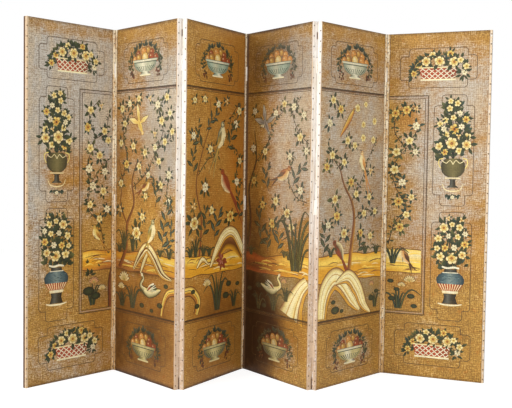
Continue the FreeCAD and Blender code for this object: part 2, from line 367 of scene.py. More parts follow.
def bindingMaterial():
    material, wire = newMaterial("paleBinding")
    place = placeOf(wire)
    high = heightOf(wire, place)
    soil = attributeOf(wire, "soil", out=2)
    edge = attributeOf(wire, "edge")
    # 0 at a near fold, 0.5 at a free edge, 1 at a far fold
    kind = wire.make("ShaderNodeSeparateColor", None, {"Color": edge})
    tackStep = kind.port(1)
    inset = kind.port(2)  # from the corner across the face
    deep = edge.port(3)  # from the front to the back, 1 is the whole thickness
    far, free = kind.ramp(0.70, 0.80), kind.ramp(0.30, 0.40)
    near = 1 - free

    streak = streaksAt(wire, place, (160.0, 160.0, 7.0))
    cloud = streaksAt(wire, place, (40.0, 40.0, 6.0))
    blotch = noiseAt(wire, place, 70.0, 5.0, 0.6)
    grain = noiseAt(wire, place, 900.0, 3.0)
    thread = streaksAt(wire, place, (380.0, 380.0, 9.0), 3.0, swirl=1.6)
    creased = {"Vector": place, "Scale": 700.0}
    cells = wire.make("ShaderNodeTexVoronoi", {"feature": "DISTANCE_TO_EDGE"}, creased)

    base = (streak * 0.6 + cloud * 0.4).ramp(0.42, 0.68).colour(pale["clean"], pale["cream"])
    low = 1 - high.ramp(0.25, 1.60)
    stained = low * 0.9 + (streak - 0.5) * 1.7 + (blotch - 0.5) * 0.6
    base = stained.ramp(0.20, 0.80).colour(base, pale["stain"])
    rosy = low * (streak * 0.5 + cloud * 0.5).ramp(0.46, 0.60)
    base = (rosy * 0.75).colour(base, pale["rose"])
    base = ((free - far) * 0.8).colour(base, pale["aged"])
    base = (far * 0.85).colour(base, pale["valley"])
    gilded = (cloud * 0.55 + blotch * 0.45 + low * 0.08).ramp(0.46, 0.60)
    base = (far * gilded * 0.85).colour(base, pale["gilt"])
    base = (thread.ramp(0.53, 0.64) * (near * 0.42 + far * 0.85)).colour(base, pale["thread"])
    mottle = streak * 0.45 + blotch * 0.55
    patchy = low * near + free - far
    base = (mottle.ramp(0.52, 0.62) * patchy * 0.7).colour(base, pale["clean"])
    base = ((1 - mottle).ramp(0.52, 0.64) * patchy * 0.55).colour(base, pale["tan"])
    # soil and painted shade on the strips: tan, then dark brown where the amount is high, on panel 4's left
    # edge in its fold
    base = (soil + (streak - 0.5) * 0.5 * soil).ramp(0.05, 0.65).colour(base, pale["tan"])
    base = soil.ramp(0.65, 1.0).colour(base, pale["soil"])
    lapped = near * inset.ramp(0.12, 0.30) * (0.35 + (cloud - 0.5) * 1.5)
    base = lapped.ramp(0.0, 0.6).colour(base, pale["tan"])
    valleyMore = (strips["valleyLap"] - screen["flange"]) / strips["insetUnit"]
    freeMore = (strips["freeLap"] - screen["flange"]) / strips["insetUnit"]
    rim = (inset - far * (valleyMore - 0.20) - (free - far) * freeMore).ramp(0.74, 0.90)
    rawEdge = rim * (0.70 + (blotch - 0.5) * 1.2)
    base = rawEdge.ramp(0.1, 1.0).colour(base, pale["dirtAndShade"])
    # partly painted shade, partly dirt: a dark line down the corner of each valley fold where the two strips
    # meet, wider on panel 4's left edge
    crease = soil.ramp(0.3, 0.6) * (1 - inset.ramp(0.14, 0.34)) + 1 - inset.ramp(0.06, 0.20)
    seam = far * crease * (0.7 + (streak - 0.5) * 1.2)
    base = seam.ramp(0.1, 0.9).colour(base, pale["dirtAndShade"])
    bare = (free - far) * (deep + (streak - 0.5) * 0.25).ramp(0.30, 0.42)
    base = bare.colour(base, pale["bare"])
    # painted shadow: the backs of the side faces at the near folds, where they meet along the hinge line,
    # darker all along and most at the foot and just below the top, where the gap shows only shade
    slit = (1 - high.ramp(0.060, 0.085)) + high.ramp(2.025, 2.035) * (1 - high.ramp(2.065, 2.075))
    base = (near * deep.ramp(0.84, 0.95) * (slit * 0.7 + 0.25)).colour(base, pale["dirtAndShade"])
    base = (blotch.ramp(0.60, 0.78) * 0.5).colour(base, pale["dirtAndShade"])

    up = wire.maths("PINGPONG", tackStep, 0.5) * tacking["step"]
    across = inset * strips["insetUnit"] - screen["flange"] / 2
    side = near * (deep * panelThick - tacking["sideDepth"]) + free * across
    reach = wire.maths("SQRT", up * up + side * side)
    rust = 1 - (reach + (grain - 0.5) * 0.002).ramp(0.0030, 0.0056)
    base = (rust * (0.7 - far * 0.3)).colour(base, pale["dirtAndShade"])
    sockets = {"Base Color": base, "Roughness": 0.55 + (blotch - 0.5) * 0.2, "Specular IOR Level": 0.3}
    finishMaterial(wire, cells * 0.6 + grain * 0.4 + blotch * 0.6 + streak * 0.5, 0.35, 0.0006, sockets)
    return material


# plain canvas on the back
canvas = {"thread": 0.0016, "light": chip(150, 124, 92), "dark": chip(112, 88, 62), "mark": chip(78, 58, 40)}


def liningMaterial():
    material, wire = newMaterial("backCanvas")
    surface = surfaceOf(wire)
    press = attributeOf(wire, "press", out=2)
    warp = tooledLines(wire, surface, canvas["thread"], "X", 0.8)
    weft = tooledLines(wire, surface, canvas["thread"], "Y", 0.8)
    cloud = noiseAt(wire, surface, 4.0, 5.0)
    slub = streaksAt(wire, surface, (500.0, 14.0, 1.0), 2.0)
    slubOver = streaksAt(wire, surface, (14.0, 500.0, 1.0), 2.0)
    weave = warp * 0.5 + weft * 0.5
    threads = weave * 0.5 + slub * 0.35 + slubOver * 0.35
    base = threads.ramp(0.3, 0.9).colour(canvas["dark"], canvas["light"])
    base = (cloud.ramp(0.5, 0.75) * 0.45).colour(base, canvas["mark"])
    base = (press * (cloud * 0.6 + 0.2)).colour(base, canvas["mark"])
    height = weave + slub * 0.4 + slubOver * 0.4
    finishMaterial(wire, height, 0.5, 0.0006, {"Base Color": base, "Roughness": 0.88})
    return material


# tarnished brass, darker on the tacks than on the hinges
def metalMaterial(name, dark, bright, shine):
    material, wire = newMaterial(name)
    place = placeOf(wire)
    patch = noiseAt(wire, place, 160.0, 4.0)
    fleck = noiseAt(wire, place, 1400.0, 3.0)
    worn = (patch * 0.7 + fleck * 0.3).ramp(0.45, 0.68)
    base = worn.colour(dark, bright)
    sockets = {"Base Color": base, "Roughness": 0.62 - worn * 0.25, "Metallic": worn * shine + shine * 0.6}
    finishMaterial(wire, patch + fleck * 0.5, 0.3, 0.0004, sockets)
    return material


# hinge leaves painted over in the colour of the binding round them, chipped here and there
def coatedMaterial():
    material, wire = newMaterial("hingeCoated")
    place = placeOf(wire)
    high = heightOf(wire, place)
    streak = streaksAt(wire, place, (160.0, 160.0, 7.0))
    chips = noiseAt(wire, place, 260.0, 4.0)
    base = streak.ramp(0.42, 0.68).colour(pale["clean"], pale["cream"])
    stained = (1 - high.ramp(0.25, 1.60)) * 0.9 + (streak - 0.5) * 1.1
    base = stained.ramp(0.20, 0.80).colour(base, pale["stain"])
    base = (chips.ramp(0.62, 0.72) * 0.8).colour(base, pale["dirtAndShade"])
    finishMaterial(wire, chips + streak * 0.5, 0.3, 0.0004, {"Base Color": base, "Roughness": 0.5})
    return material


# softwood of the frame inside
softwood = {"late": chip(126, 92, 58), "early": chip(168, 130, 86), "pore": chip(92, 64, 40)}


def woodMaterial():
    material, wire = newMaterial("frameSoftwood")
    place = placeOf(wire)
    ring = streaksAt(wire, place, (60.0, 60.0, 2.5))
    pore = streaksAt(wire, place, (900.0, 900.0, 18.0), 2.0)
    base = ring.ramp(0.35, 0.65).colour(softwood["late"], softwood["early"])
    base = (pore.ramp(0.55, 0.75) * 0.5).colour(base, softwood["pore"])
    finishMaterial(wire, ring * 0.5 + pore, 0.3, 0.0006, {"Base Color": base, "Roughness": 0.75})
    return material


giltLeather = groundMaterial()
paintCoat = paintMaterial()
paleBinding = bindingMaterial()
backCanvas = liningMaterial()
tackBrass = metalMaterial("tackBrass", chip(66, 52, 40), chip(128, 102, 70), 0.4)
hingeBrass = metalMaterial("hingeBrass", chip(70, 54, 36), chip(146, 116, 72), 0.5)
hingeCoated = coatedMaterial()
frameSoftwood = woodMaterial()
print("materials ready")

# sheets that cover the frame between the side faces of the strips
sheetWidth = panelWidth - 2 * screen["binding"]


def sheetGrid(sheet):
    bm = bmesh.new()
    bmesh.ops.create_grid(bm, x_segments=sheet["columns"], y_segments=sheet["rows"], size=0.5)
    bmesh.ops.scale(bm, vec=(sheetWidth, panelHeight, 1.0), verts=bm.verts)
    bmesh.ops.translate(bm, vec=(panelWidth / 2, panelHeight / 2, 0.0), verts=bm.verts)
    return bm


def holdOnFrame(piece, thickness):
    wall = piece.modifiers.new("thickness", "SOLIDIFY")
    wall.thickness = thickness
    wall.offset = -1.0


# hides stretched over the front and turned over the top and bottom edges of the frame
hide = {
    "columns": 26, "rows": 92, "swell": 0.0004, "swellSize": 0.17, "edgeFade": 0.07, "foldRound": 0.0012,
    "endGrime": 0.55, "endReach": 0.025,  # dirt along the top and bottom edges
}

# worn silver, grime with painted shade, water and amber varnish on each face: u, v, half width, half height,
# amounts of the four
# the grime next to the valley folds, most on panel 4's left, and low on panels 2 to 4 is partly painted shade
facePatches = {
    1: (
        (0.32, 1.75, 0.62, 0.86, 0.92, 0.0, 0.0, 0.12), (0.04, 1.00, 0.14, 0.60, 0.44, -0.04, 0.0, 0.0),
        (0.30, 0.12, 0.45, 0.22, 0.40, 0.14, 0.0, 0.0), (0.62, 1.30, 0.14, 1.00, 0.0, 0.14, 0.0, 0.0),
        (0.50, 0.52, 0.16, 0.14, 0.20, 0.20, 0.5, 0.0), (0.30, 2.12, 0.50, 0.10, -0.4, 0.0, 0.0, 0.0),
        (0.30, 1.28, 0.30, 0.16, -0.45, 0.0, 0.0, 0.2), (0.60, 0.30, 0.20, 0.40, 0.0, 0.12, 0.0, 0.3),
        (0.20, 0.60, 0.24, 0.50, 0.14, 0.0, 0.0, 0.0),
    ),
    2: (
        (0.58, 1.58, 0.32, 0.44, 0.60, 0.0, 0.0, 0.0), (0.30, 1.55, 0.50, 0.56, 0.40, 0.0, 0.0, 0.2),
        (0.30, 1.95, 0.50, 0.26, 0.20, 0.16, 0.0, 0.0), (0.32, 0.53, 0.44, 0.20, 0.10, 0.06, 0.3, 0.2),
        (0.30, 0.22, 0.70, 0.50, 0.0, 0.46, 0.0, 0.6), (0.00, 0.70, 0.18, 1.10, 0.0, 0.10, 0.0, 0.2),
        (0.10, 0.10, 0.40, 0.40, 0.0, 0.18, 0.0, 0.0), (0.46, 0.26, 0.16, 0.20, 0.0, 0.16, 0.0, 0.0),
        (0.56, 1.10, 0.14, 0.34, 0.26, 0.0, 0.0, 0.0), (0.30, 1.40, 0.80, 1.10, 0.0, 0.17, 0.0, 0.1),
        (0.32, 0.71, 0.60, 0.09, 0.0, 0.60, 0.0, 0.0), (0.30, 1.34, 0.60, 0.30, 0.0, 0.15, 0.0, 0.1),
    ),
    3: (
        (0.45, 1.40, 0.62, 1.20, 0.0, 0.24, 0.0, 0.30), (0.34, 0.52, 0.42, 0.18, 0.0, 0.18, 0.12, 0.4),
        (0.58, 1.75, 0.30, 0.60, 0.0, 0.12, 0.0, 0.4), (0.40, 0.20, 0.50, 0.36, 0.0, 0.42, 0.0, 0.5),
        (0.04, 1.95, 0.20, 0.20, 0.12, 0.0, 0.0, 0.0), (0.58, 1.10, 0.20, 0.40, 0.0, 0.0, 0.0, 0.5),
        (0.20, 1.00, 0.22, 0.34, 0.0, 0.08, 0.0, 0.2),
    ),
    4: (
        (0.00, 0.40, 0.42, 0.72, 0.0, 0.60, 0.0, 0.3), (0.06, 1.95, 0.50, 0.34, 0.0, 0.26, 0.0, 0.1),
        (0.00, 1.10, 0.30, 0.60, 0.0, 0.14, 0.0, 0.2), (0.50, 1.48, 0.36, 0.62, 0.74, 0.0, 0.0, 0.3),
        (0.44, 1.95, 0.44, 0.26, 0.34, 0.22, 0.0, 0.0), (0.36, 0.54, 0.40, 0.20, 0.30, -0.05, 0.8, 0.0),
        (0.06, 0.26, 0.40, 0.44, 0.0, 0.46, 0.0, 0.4), (0.40, 0.18, 0.24, 0.16, 0.30, 0.10, 0.0, 0.0),
        (0.44, 0.30, 0.30, 0.20, 0.0, 0.22, 0.0, 0.3), (0.34, 0.96, 0.24, 0.26, 0.26, 0.0, 0.0, 0.3),
        (0.34, 1.40, 0.70, 1.00, 0.0, 0.13, 0.0, 0.1), (0.46, 1.04, 0.40, 0.26, 0.0, 0.12, 0.0, 0.0),
    ),
    5: (
        (0.28, 1.35, 0.70, 0.90, 0.66, 0.10, 0.36, 0.26), (0.20, 1.92, 0.50, 0.26, 0.0, 0.18, 0.0, 0.1),
        (0.42, 0.53, 0.36, 0.18, 0.24, -0.02, 0.7, 0.1), (0.34, 0.18, 0.30, 0.16, 0.40, 0.10, 0.0, 0.0),
        (0.62, 1.10, 0.14, 1.30, 0.0, 0.12, 0.0, 0.0), (0.34, 0.24, 0.50, 0.24, 0.0, 0.24, 0.0, 0.1),
        (0.32, 1.04, 0.50, 0.26, 0.0, 0.15, 0.0, 0.0),
    ),
    6: (
        (0.46, 1.45, 0.34, 0.62, 0.54, 0.0, 0.0, 0.25), (0.36, 1.88, 0.50, 0.30, 0.36, 0.04, 0.0, 0.2),
        (0.20, 1.20, 0.26, 0.60, 0.34, 0.0, 0.0, 0.1), (0.36, 0.82, 0.30, 0.30, 0.22, 0.0, 0.0, 0.3),
        (0.14, 0.53, 0.16, 0.14, 0.0, 0.04, 0.2, 0.2), (0.00, 1.00, 0.12, 1.40, 0.0, 0.06, 0.0, 0.0),
        (0.30, 0.20, 0.30, 0.20, 0.16, 0.0, 0.0, 0.0), (0.14, 1.60, 0.10, 0.10, -0.3, 0.0, 0.0, 0.3),
    ),
}


def faceTone(panel, u, v):
    amounts = [0.0, 0.0, 0.0, 0.0]
    for cu, cv, halfU, halfV, *adds in facePatches[panel]:
        far = ((u - cu) / halfU) ** 2 + ((v - cv) / halfV) ** 2
        soft = 1 - ease(0.0, 1.3, far)
        for i, add in enumerate(adds):
            amounts[i] += add * soft
    amounts[1] += hide["endGrime"] * (1 - ease(0.0, hide["endReach"], min(v, panelHeight - v)))
    return tuple(min(max(a, 0.0), 1.0) for a in amounts)


def leatherSwell(panel, u, v):
    edge = min(u, panelWidth - u, v, panelHeight - v) - screen["flange"]
    size = hide["swellSize"]
    wave = noise.noise(Vector((u / size, v / size * 0.6, panel * 7.3)))
    return hide["swell"] * ease(0.0, hide["edgeFade"], edge) * (0.5 + 0.5 * wave)


def leatherPiece(panel):
    bm = sheetGrid(hide)
    for end in (0.0, panelHeight):
        rim = [e for e in bm.edges if e.is_boundary and all(abs(v.co.y - end) < 1e-5 for v in e.verts)]
        turned = bmesh.ops.extrude_edge_only(bm, edges=rim)["geom"]
        back = [g for g in turned if isinstance(g, bmesh.types.BMVert)]
        bmesh.ops.translate(bm, vec=(0, 0, leatherFront - frameBack), verts=back)
    folds = [e for e in bm.edges if len(e.link_faces) == 2 and e.calc_face_angle() > 1.0]
    rounding = {"offset": hide["foldRound"], "segments": 3, "profile": 0.5, "material": -1}
    bmesh.ops.bevel(bm, geom=folds, affect="EDGES", **rounding)
    bmesh.ops.recalc_face_normals(bm, faces=bm.faces)
    if sum(f.normal.z * f.calc_area() for f in bm.faces) < 0:
        bmesh.ops.reverse_faces(bm, faces=bm.faces)
    surface = bm.loops.layers.uv.new("surface")
    tone = bm.verts.layers.float_color.new("tone")
    for face in bm.faces:
        for loop in face.loops:
            co = loop.vert.co
            loop[surface].uv = (co.x, co.y - co.z if co.y > panelHeight / 2 else co.y + co.z)
    for vert in bm.verts:
        vert[tone] = faceTone(panel, vert.co.x, vert.co.y)
        if vert.co.z > -1e-6:
            vert.co.z += leatherSwell(panel, vert.co.x, vert.co.y)
    bm.transform(canvasPlace(panel))
    body = f"panel_{panel}"
    piece = newPiece(f"{body}_leather", bm, giltLeather, body, smooth=smoothAngle)
    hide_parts(f"{body}_leather_face")
    holdOnFrame(piece, screen["leather"])
    return piece


leathers = [leatherPiece(panel) for panel in panelNumbers]
print("leather faces stretched:", len(leathers))

# cloth pasted over the back, drawn in a little between the bars of the frame
backing = {
    "columns": 30, "rows": 100, "sink": 0.0006, "stile": 0.055, "barSoft": 0.018,
    "bars": ((0.0, 0.090), (0.6683, 0.7283), (1.3217, 1.3817), (2.055, 2.130)),  # rails, up the panel
}


def liningPiece(panel):
    bm = sheetGrid(backing)
    surface = bm.loops.layers.uv.new("surface")
    press = bm.verts.layers.float.new("press")
    for face in bm.faces:
        for loop in face.loops:
            loop[surface].uv = (loop.vert.co.x, loop.vert.co.y)
    for vert in bm.verts:
        u, v = vert.co.x, vert.co.y
        fromStile = min(u, panelWidth - u) - backing["stile"]
        fromBar = min(max(low - v, v - high) for low, high in backing["bars"])
        free = min(fromStile, fromBar)
        vert[press] = 1 - ease(0.0, backing["barSoft"] * 1.5, abs(free))
        ripple = noise.noise(Vector((u * 9, v * 7, panel * 3.1)))
        vert.co.z = -backing["sink"] * ease(0.0, backing["barSoft"] * 3, free) * (0.75 + 0.25 * ripple)
    axes = Matrix(((-1, 0, 0, panelWidth), (0, 0, 1, liningBack), (0, 1, 0, 0), (0, 0, 0, 1)))
    bm.transform(panelPlace(panel) @ axes)
    body = f"panel_{panel}"
    piece = newPiece(f"{body}_lining", bm, backCanvas, body, smooth=smoothAngle)
    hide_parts(f"{body}_back_lining")
    holdOnFrame(piece, screen["lining"])
    return piece


linings = [liningPiece(panel) for panel in panelNumbers]
print("back linings pasted:", len(linings))


def cutThrough(bm, place, way, close=1e-6, clear=False):
    geom = bm.verts[:] + bm.edges[:] + bm.faces[:]
    bmesh.ops.bisect_plane(bm, geom=geom, dist=close, plane_co=place, plane_no=way, clear_outer=clear)


def bindingPiece(panel):
    place = panelPlace(panel)
    bm = bmesh.new()
    bm.from_mesh(nodes[f"panel_{panel}_edge_binding"].data)
    bmesh.ops.remove_doubles(bm, verts=bm.verts, dist=1e-5)
    bm.transform(place.inverted())
    bmesh.ops.dissolve_limit(bm, angle_limit=math.radians(1.0), verts=bm.verts, edges=bm.edges)
    cuts = [cut * strips["cutStep"] for cut in range(1, int(panelHeight / strips["cutStep"]))]
    for hinge in strips["hinges"]:
        for room in (strips["hingeRoom"], strips["hingeRoom"] + strips["hingeTaper"]):
            cuts += [hinge - room, hinge + room]
    for cut in cuts:
        cutThrough(bm, (0, 0, cut), (0, 0, 1))
    for right in (False, True):
        valley = (panel if right else panel - 1) in valleyFolds
        corner = (panelWidth * right, 0.0 if valley else panelThick, 0.0)
        cutThrough(bm, corner, (1, 1 if right == valley else -1, 0))
    bmesh.ops.recalc_face_normals(bm, faces=bm.faces)
    edge = bm.verts.layers.float_color.new("edge")
    soil = bm.verts.layers.float.new("soil")
    for vert in bm.verts:
        x, y, z = vert.co
        right = x > panelWidth / 2
        out = 1 if right else -1
        inset = panelWidth - x if right else x
        fold = panel if right else panel - 1
        free = not 1 <= fold < len(panelNumbers)
        valley = fold in valleyFolds
        tackStep = (z - tacking["first"]) / tacking["step"] + (0.0 if right else 0.5)
        rim = abs(inset - screen["flange"]) < 1e-4
        lap = 0.0
        if rim and y < panelThick / 2 and (free or valley):
            lap = strips["freeLap" if free else "valleyLap"] - inset
        kind = 0.5 if free else 1.0 if valley else 0.0
        vert[edge] = (kind, tackStep, (inset + lap) / strips["insetUnit"], y / panelThick)
        vert[soil] = strips["soil"].get((panel, right), 0.0)
        sway = noise.noise(Vector((panel * 5.0 + right * 2.0, z / strips["waverSize"], 0.0)))
        if rim:
            vert.co.x -= (lap + sway * strips["valleyWaver" if lap else "waver"]) * out
        elif strips["puffIn"] < y < panelThick - strips["puffIn"] and inset < 1e-4:
            vert.co.x += abs(sway) * strips["puff"] * out
        depth = y if valley else panelThick - y
        turned = max(inset, depth) < strips["beadRound"]
        fromHinge = min(abs(z - hinge) for hinge in strips["hinges"]) - strips["hingeRoom"]
        if turned and not free and fromHinge > strips["hingeTaper"] / 2:
            stand = 2 * strips["bead"] * (1 - inset / strips["beadRound"]) * (1 - depth / strips["beadRound"])
            if abs(inset - depth) < 1e-5 and inset < screen["binding"] * 0.8:
                stand = inset + strips["crest"]
            vert.co.x += stand * out
            vert.co.y += stand * (-1 if valley else 1)
    bm.transform(place)
    body = f"panel_{panel}"
    piece = newPiece(f"{body}_binding", bm, paleBinding, body, smooth=smoothAngle)
    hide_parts(f"{body}_edge_binding")
    return piece


bindings = [bindingPiece(panel) for panel in panelNumbers]
print("bindings folded round the edges:", len(bindings))

# solids that keep their CAD shape get their finishes
finishes = {
    "tacks": tackBrass, "hinge_leaves": hingeCoated, "hinge_screws": hingeCoated, "hinge_pins": hingeBrass,
    "left_stile": frameSoftwood, "right_stile": frameSoftwood, "rails": frameSoftwood,
}
for name, node in nodes.items():
    for ending, finish in finishes.items():
        if name.endswith(ending):
            if node.material_slots:
                for slot in node.material_slots:
                    slot.material = finish
            else:
                node.data.materials.append(finish)
print("metal and wood finished")

# the painter's colours
paints = {
    "leafDark": chip(32, 36, 24), "leafMid": chip(64, 76, 46), "leafBlue": chip(60, 84, 70),
    "leafOlive": chip(104, 106, 58), "cream": chip(244, 228, 172), "yellow": chip(238, 216, 122),
    "amber": chip(220, 172, 74), "orange": chip(204, 132, 54), "white": chip(242, 236, 204),
    "brown": chip(104, 60, 28), "umber": chip(62, 42, 26), "russet": chip(138, 64, 34),
    "bark": chip(100, 62, 34), "barkLight": chip(154, 100, 54), "rock": chip(250, 230, 152),
    "rockShade": chip(212, 162, 70), "ivory": chip(255, 244, 188), "bank": chip(230, 166, 44),
    "bankLight": chip(254, 216, 96), "bankRed": chip(192, 88, 36), "line": chip(82, 62, 40),
    "celadon": chip(204, 204, 172), "celadonDark": chip(120, 134, 114), "peach": chip(220, 160, 88),
    "apple": chip(170, 76, 40), "teal": chip(74, 98, 102), "tealLight": chip(126, 144, 138),
    "tealDark": chip(34, 54, 60), "olive": chip(94, 86, 48), "oliveLight": chip(118, 108, 64),
    "oliveDark": chip(54, 48, 30), "lattice": chip(174, 74, 40), "slate": chip(90, 90, 78),
    "rose": chip(206, 148, 120), "lilac": chip(172, 158, 150), "black": chip(30, 26, 20),
    "berry": chip(146, 62, 42), "sky": chip(174, 192, 168), "skyDark": chip(112, 134, 114),
    "ware": chip(218, 204, 142), "wareDark": chip(156, 144, 86),
}
coat = {
    "first": 0.00008, "next": 0.000026,  # how far the first coat stands off, and each one laid over it
    "cell": 0.012, "batch": 900,  # grid for finding what a coat crosses, and vertices to a batch
    "left": 0.0105, "right": 0.6225, "seam": 1.053,  # seam: height where its map is split
    "wear": (0.02, 0.05, 0.03, 0.11, 0.04, 0.02),  # how far each panel's paint has thinned
    "rub": 3,  # rubbing through to the gold, for each unit of wear
    "grimeAndShade": 0.42,  # share of the face's grime and painted shade that lies on the paint
}


# a smooth path through points
def flow(points, step):
    knots = [Vector((*q, 0.0)) for q in points]
    path = []
    for i in range(len(knots) - 1):
        before, after = knots[max(i - 1, 0)], knots[min(i + 2, len(knots) - 1)]
        leave = knots[i] + (knots[i + 1] - before) / 6
        arrive = knots[i + 1] - (after - knots[i]) / 6
        count = max(2, int((knots[i + 1] - knots[i]).length / step) + 1)
        path += geometry.interpolate_bezier(knots[i], leave, arrive, knots[i + 1], count + 1)[bool(path):]
    return [(q.x, q.y) for q in path]


# the value at t from 0 to 1, between evenly spaced ones
def along(values, t):
    place = t * (len(values) - 1)
    i = min(int(place), max(len(values) - 2, 0))
    nearby = values[min(i + 1, len(values) - 1)]
    return values[i] + (nearby - values[i]) * (place - i)


# one panel's paintwork: flat coats, each laid over those that it crosses
class Paintwork:
    def __init__(self, panel):
        self.panel = panel
        self.draw = random.Random(panel * 101)
        self.done = bmesh.new()
        self.done.verts.layers.float_color.new("paint")
        self.coats = {}
        self.takeBrush()

    def takeBrush(self):
        self.hand = bmesh.new()
        self.tone = self.hand.verts.layers.float_color.new("paint")

    def settle(self):
        mesh = bpy.data.meshes.new("coats")
        self.hand.to_mesh(mesh)
        self.hand.free()
        self.done.from_mesh(mesh)
        bpy.data.meshes.remove(mesh)
        self.takeBrush()

    def lay(self, verts):
        cells = set()
        size = coat["cell"]
        for face in {f for v in verts for f in v.link_faces}:
            us = [v.co.x for v in face.verts]
            vs = [v.co.y for v in face.verts]
            for i in range(int(min(us) / size), int(max(us) / size) + 1):
                for j in range(int(min(vs) / size), int(max(vs) / size) + 1):
                    cells.add((i, j))
        layer = 1 + max(self.coats.get(c, 0) for c in cells)
        for c in cells:
            self.coats[c] = layer
        for v in verts:
            v.co.z = coat["first"] + layer * coat["next"]
        if len(self.hand.verts) > coat["batch"]:
            self.settle()

    # a touch of the brush that grows from (u, v); point narrows both ends, flare the foot
    def dab(self, u, v, length, width, turn, foot, tip, heart=None, point=0.0, flare=0.0, segments=8):
        made = bmesh.ops.create_circle(self.hand, cap_ends=True, cap_tris=True, segments=segments, radius=0.5)
        verts = made["verts"]
        c, s = math.cos(turn), math.sin(turn)
        foot, tip = paints[foot], paints[tip]
        for vert in verts:
            x, y = vert.co.x, vert.co.y
            a = y + 0.5
            b = x * (1 - point * (2 * y) ** 2) * (1 - flare * (1 - a)) * width
            vert[self.tone] = between(foot, tip, a)
            vert.co = (u + c * a * length - s * b, v + s * a * length + c * b, 0.0)
        if heart:
            verts[0][self.tone] = paints[heart]
        return verts

    def disc(self, u, v, size, rim, heart, squash=1.0, segments=10):
        tall = size * squash
        return self.dab(u, v - tall / 2, tall, size, tau / 4, rim, rim, heart, segments=segments)

    # a line of the brush; tones run across it and turn into tips towards its end; shift moves it sideways
    def strip(self, path, widths, tones, tips=None, shift=(0.0,)):
        rows = len(path) - 1
        columns = max(len(tones) - 1, 1)
        verts = bmesh.ops.create_grid(self.hand, x_segments=columns, y_segments=rows, size=0.5)["verts"]
        tips = tips or tones
        for vert in verts:
            s, t = vert.co.x + 0.5, vert.co.y + 0.5
            j = round(t * rows)
            i = round(s * columns) if len(tones) > 1 else 0
            u, v = path[j]
            ahead, behind = path[min(j + 1, rows)], path[max(j - 1, 0)]
            du, dv = ahead[0] - behind[0], ahead[1] - behind[1]
            far = math.hypot(du, dv) or 1.0
            out = (s - 0.5) * along(widths, t) + along(shift, t)
            vert[self.tone] = between(paints[tones[i]], paints[tips[i]], t)
            vert.co = (u + dv / far * out, v - du / far * out, 0.0)
        return verts

    def stroke(self, points, widths, tones, tips=None, step=0.014):
        self.lay(self.strip(flow(points, step), widths, tones, tips))

    def finish(self):
        self.settle()
        bm = self.done
        deep = strips["valleyLap"] - screen["flange"]
        left = coat["left"] + deep * (self.panel - 1 in valleyFolds)
        right = coat["right"] - deep * (self.panel in valleyFolds)
        for cut, way in ((left, -1), (right, 1)):
            cutThrough(bm, (cut, 0, 0), (way, 0, 0), 1e-7, clear=True)
        cutThrough(bm, (0, coat["seam"], 0), (0, 1, 0), 1e-7)
        surface = bm.loops.layers.uv.new("surface")
        bake = bm.loops.layers.uv.new("OFBake")
        for face in bm.faces:
            upper = face.calc_center_median().y > coat["seam"]
            low, high = (coat["seam"], panelHeight) if upper else (0.0, coat["seam"])
            for loop in face.loops:
                u, v = loop.vert.co.x, loop.vert.co.y
                loop[surface].uv = (u, v)
                loop[bake].uv = ((u / panelWidth + (not upper)) / 2, (v - low) / (high - low))
        paint = bm.verts.layers.float_color["paint"]
        wear = coat["wear"][self.panel - 1]
        for vert in bm.verts:
            u, v = vert.co.x, vert.co.y
            # the paint takes on the face's grime, with its painted shade in the folds
            silver, grimeAndShade = faceTone(self.panel, u, v)[:2]
            worn = between(vert[paint], between(ground["gold"], ground["silver"], silver), wear)
            vert[paint] = (*between(worn, ground["grimeAndShade"], coat["grimeAndShade"] * grimeAndShade)[:3], coat["rub"] * wear)
            vert.co.z += leatherSwell(self.panel, u, v)
        bm.transform(canvasPlace(self.panel))
        body = f"panel_{self.panel}"
        return newPiece(f"{body}_painting", bm, paintCoat, body)


# flowers: petals in rings round a heart, with dark leaves behind
flowers = {
    "star": {
        "petals": 5, "rings": ((1.0, "yellow", "cream"), (0.5, "amber", "yellow")),
        "heart": ("brown", "amber"), "wide": 0.72,
    },
    "daisy": {"petals": 8, "rings": ((1.0, "yellow", "white"),), "heart": ("umber", "yellow"), "wide": 0.40},
    "rose": {
        "petals": 6, "rings": ((1.0, "yellow", "cream"), (0.62, "orange", "yellow")),
        "heart": ("brown", "orange"), "wide": 0.68,
    },
    "gold": {
        "petals": 6, "rings": ((1.0, "amber", "yellow"), (0.58, "orange", "amber")),
        "heart": ("brown", "brown"), "wide": 0.62,
    },
    "pale": {
        "petals": 6, "rings": ((1.0, "yellow", "white"), (0.55, "cream", "white")),
        "heart": ("umber", "amber"), "wide": 0.60,
    },
    "bare": {
        "petals": 6, "rings": ((1.0, "yellow", "cream"), (0.5, "amber", "yellow")),
        "heart": ("barkLight", "amber"), "wide": 0.66,
    },
    "bud": {"petals": 3, "rings": ((1.0, "amber", "cream"),), "heart": ("russet", "amber"), "wide": 0.62},
}
petalForm = {"waver": (0.92, 1.08), "outline": 1.09, "wide": 1.35, "flare": 0.45, "heart": 0.22, "leaf": 1.1}
leafForm = {"waver": (-0.35, 0.35), "long": (0.42, 0.85), "wide": (0.36, 0.56), "point": 0.75}
greens = ("leafMid", "leafBlue", "leafMid", "leafOlive")  # take turns in the heaps


def leaves(p, u, v, count, size, start=0.0, sweep=tau, foot="leafDark", tip="leafMid", off=0.28):
    group = []
    for i in range(count):
        turn = start + sweep * (i + 0.5 + p.draw.uniform(*leafForm["waver"])) / count
        long = size * p.draw.uniform(*leafForm["long"])
        wide = long * p.draw.uniform(*leafForm["wide"])
        cu, cv = u + math.cos(turn) * size * off, v + math.sin(turn) * size * off
        group += p.dab(cu, cv, long, wide, turn, foot, tip, point=leafForm["point"])
    p.lay(group)


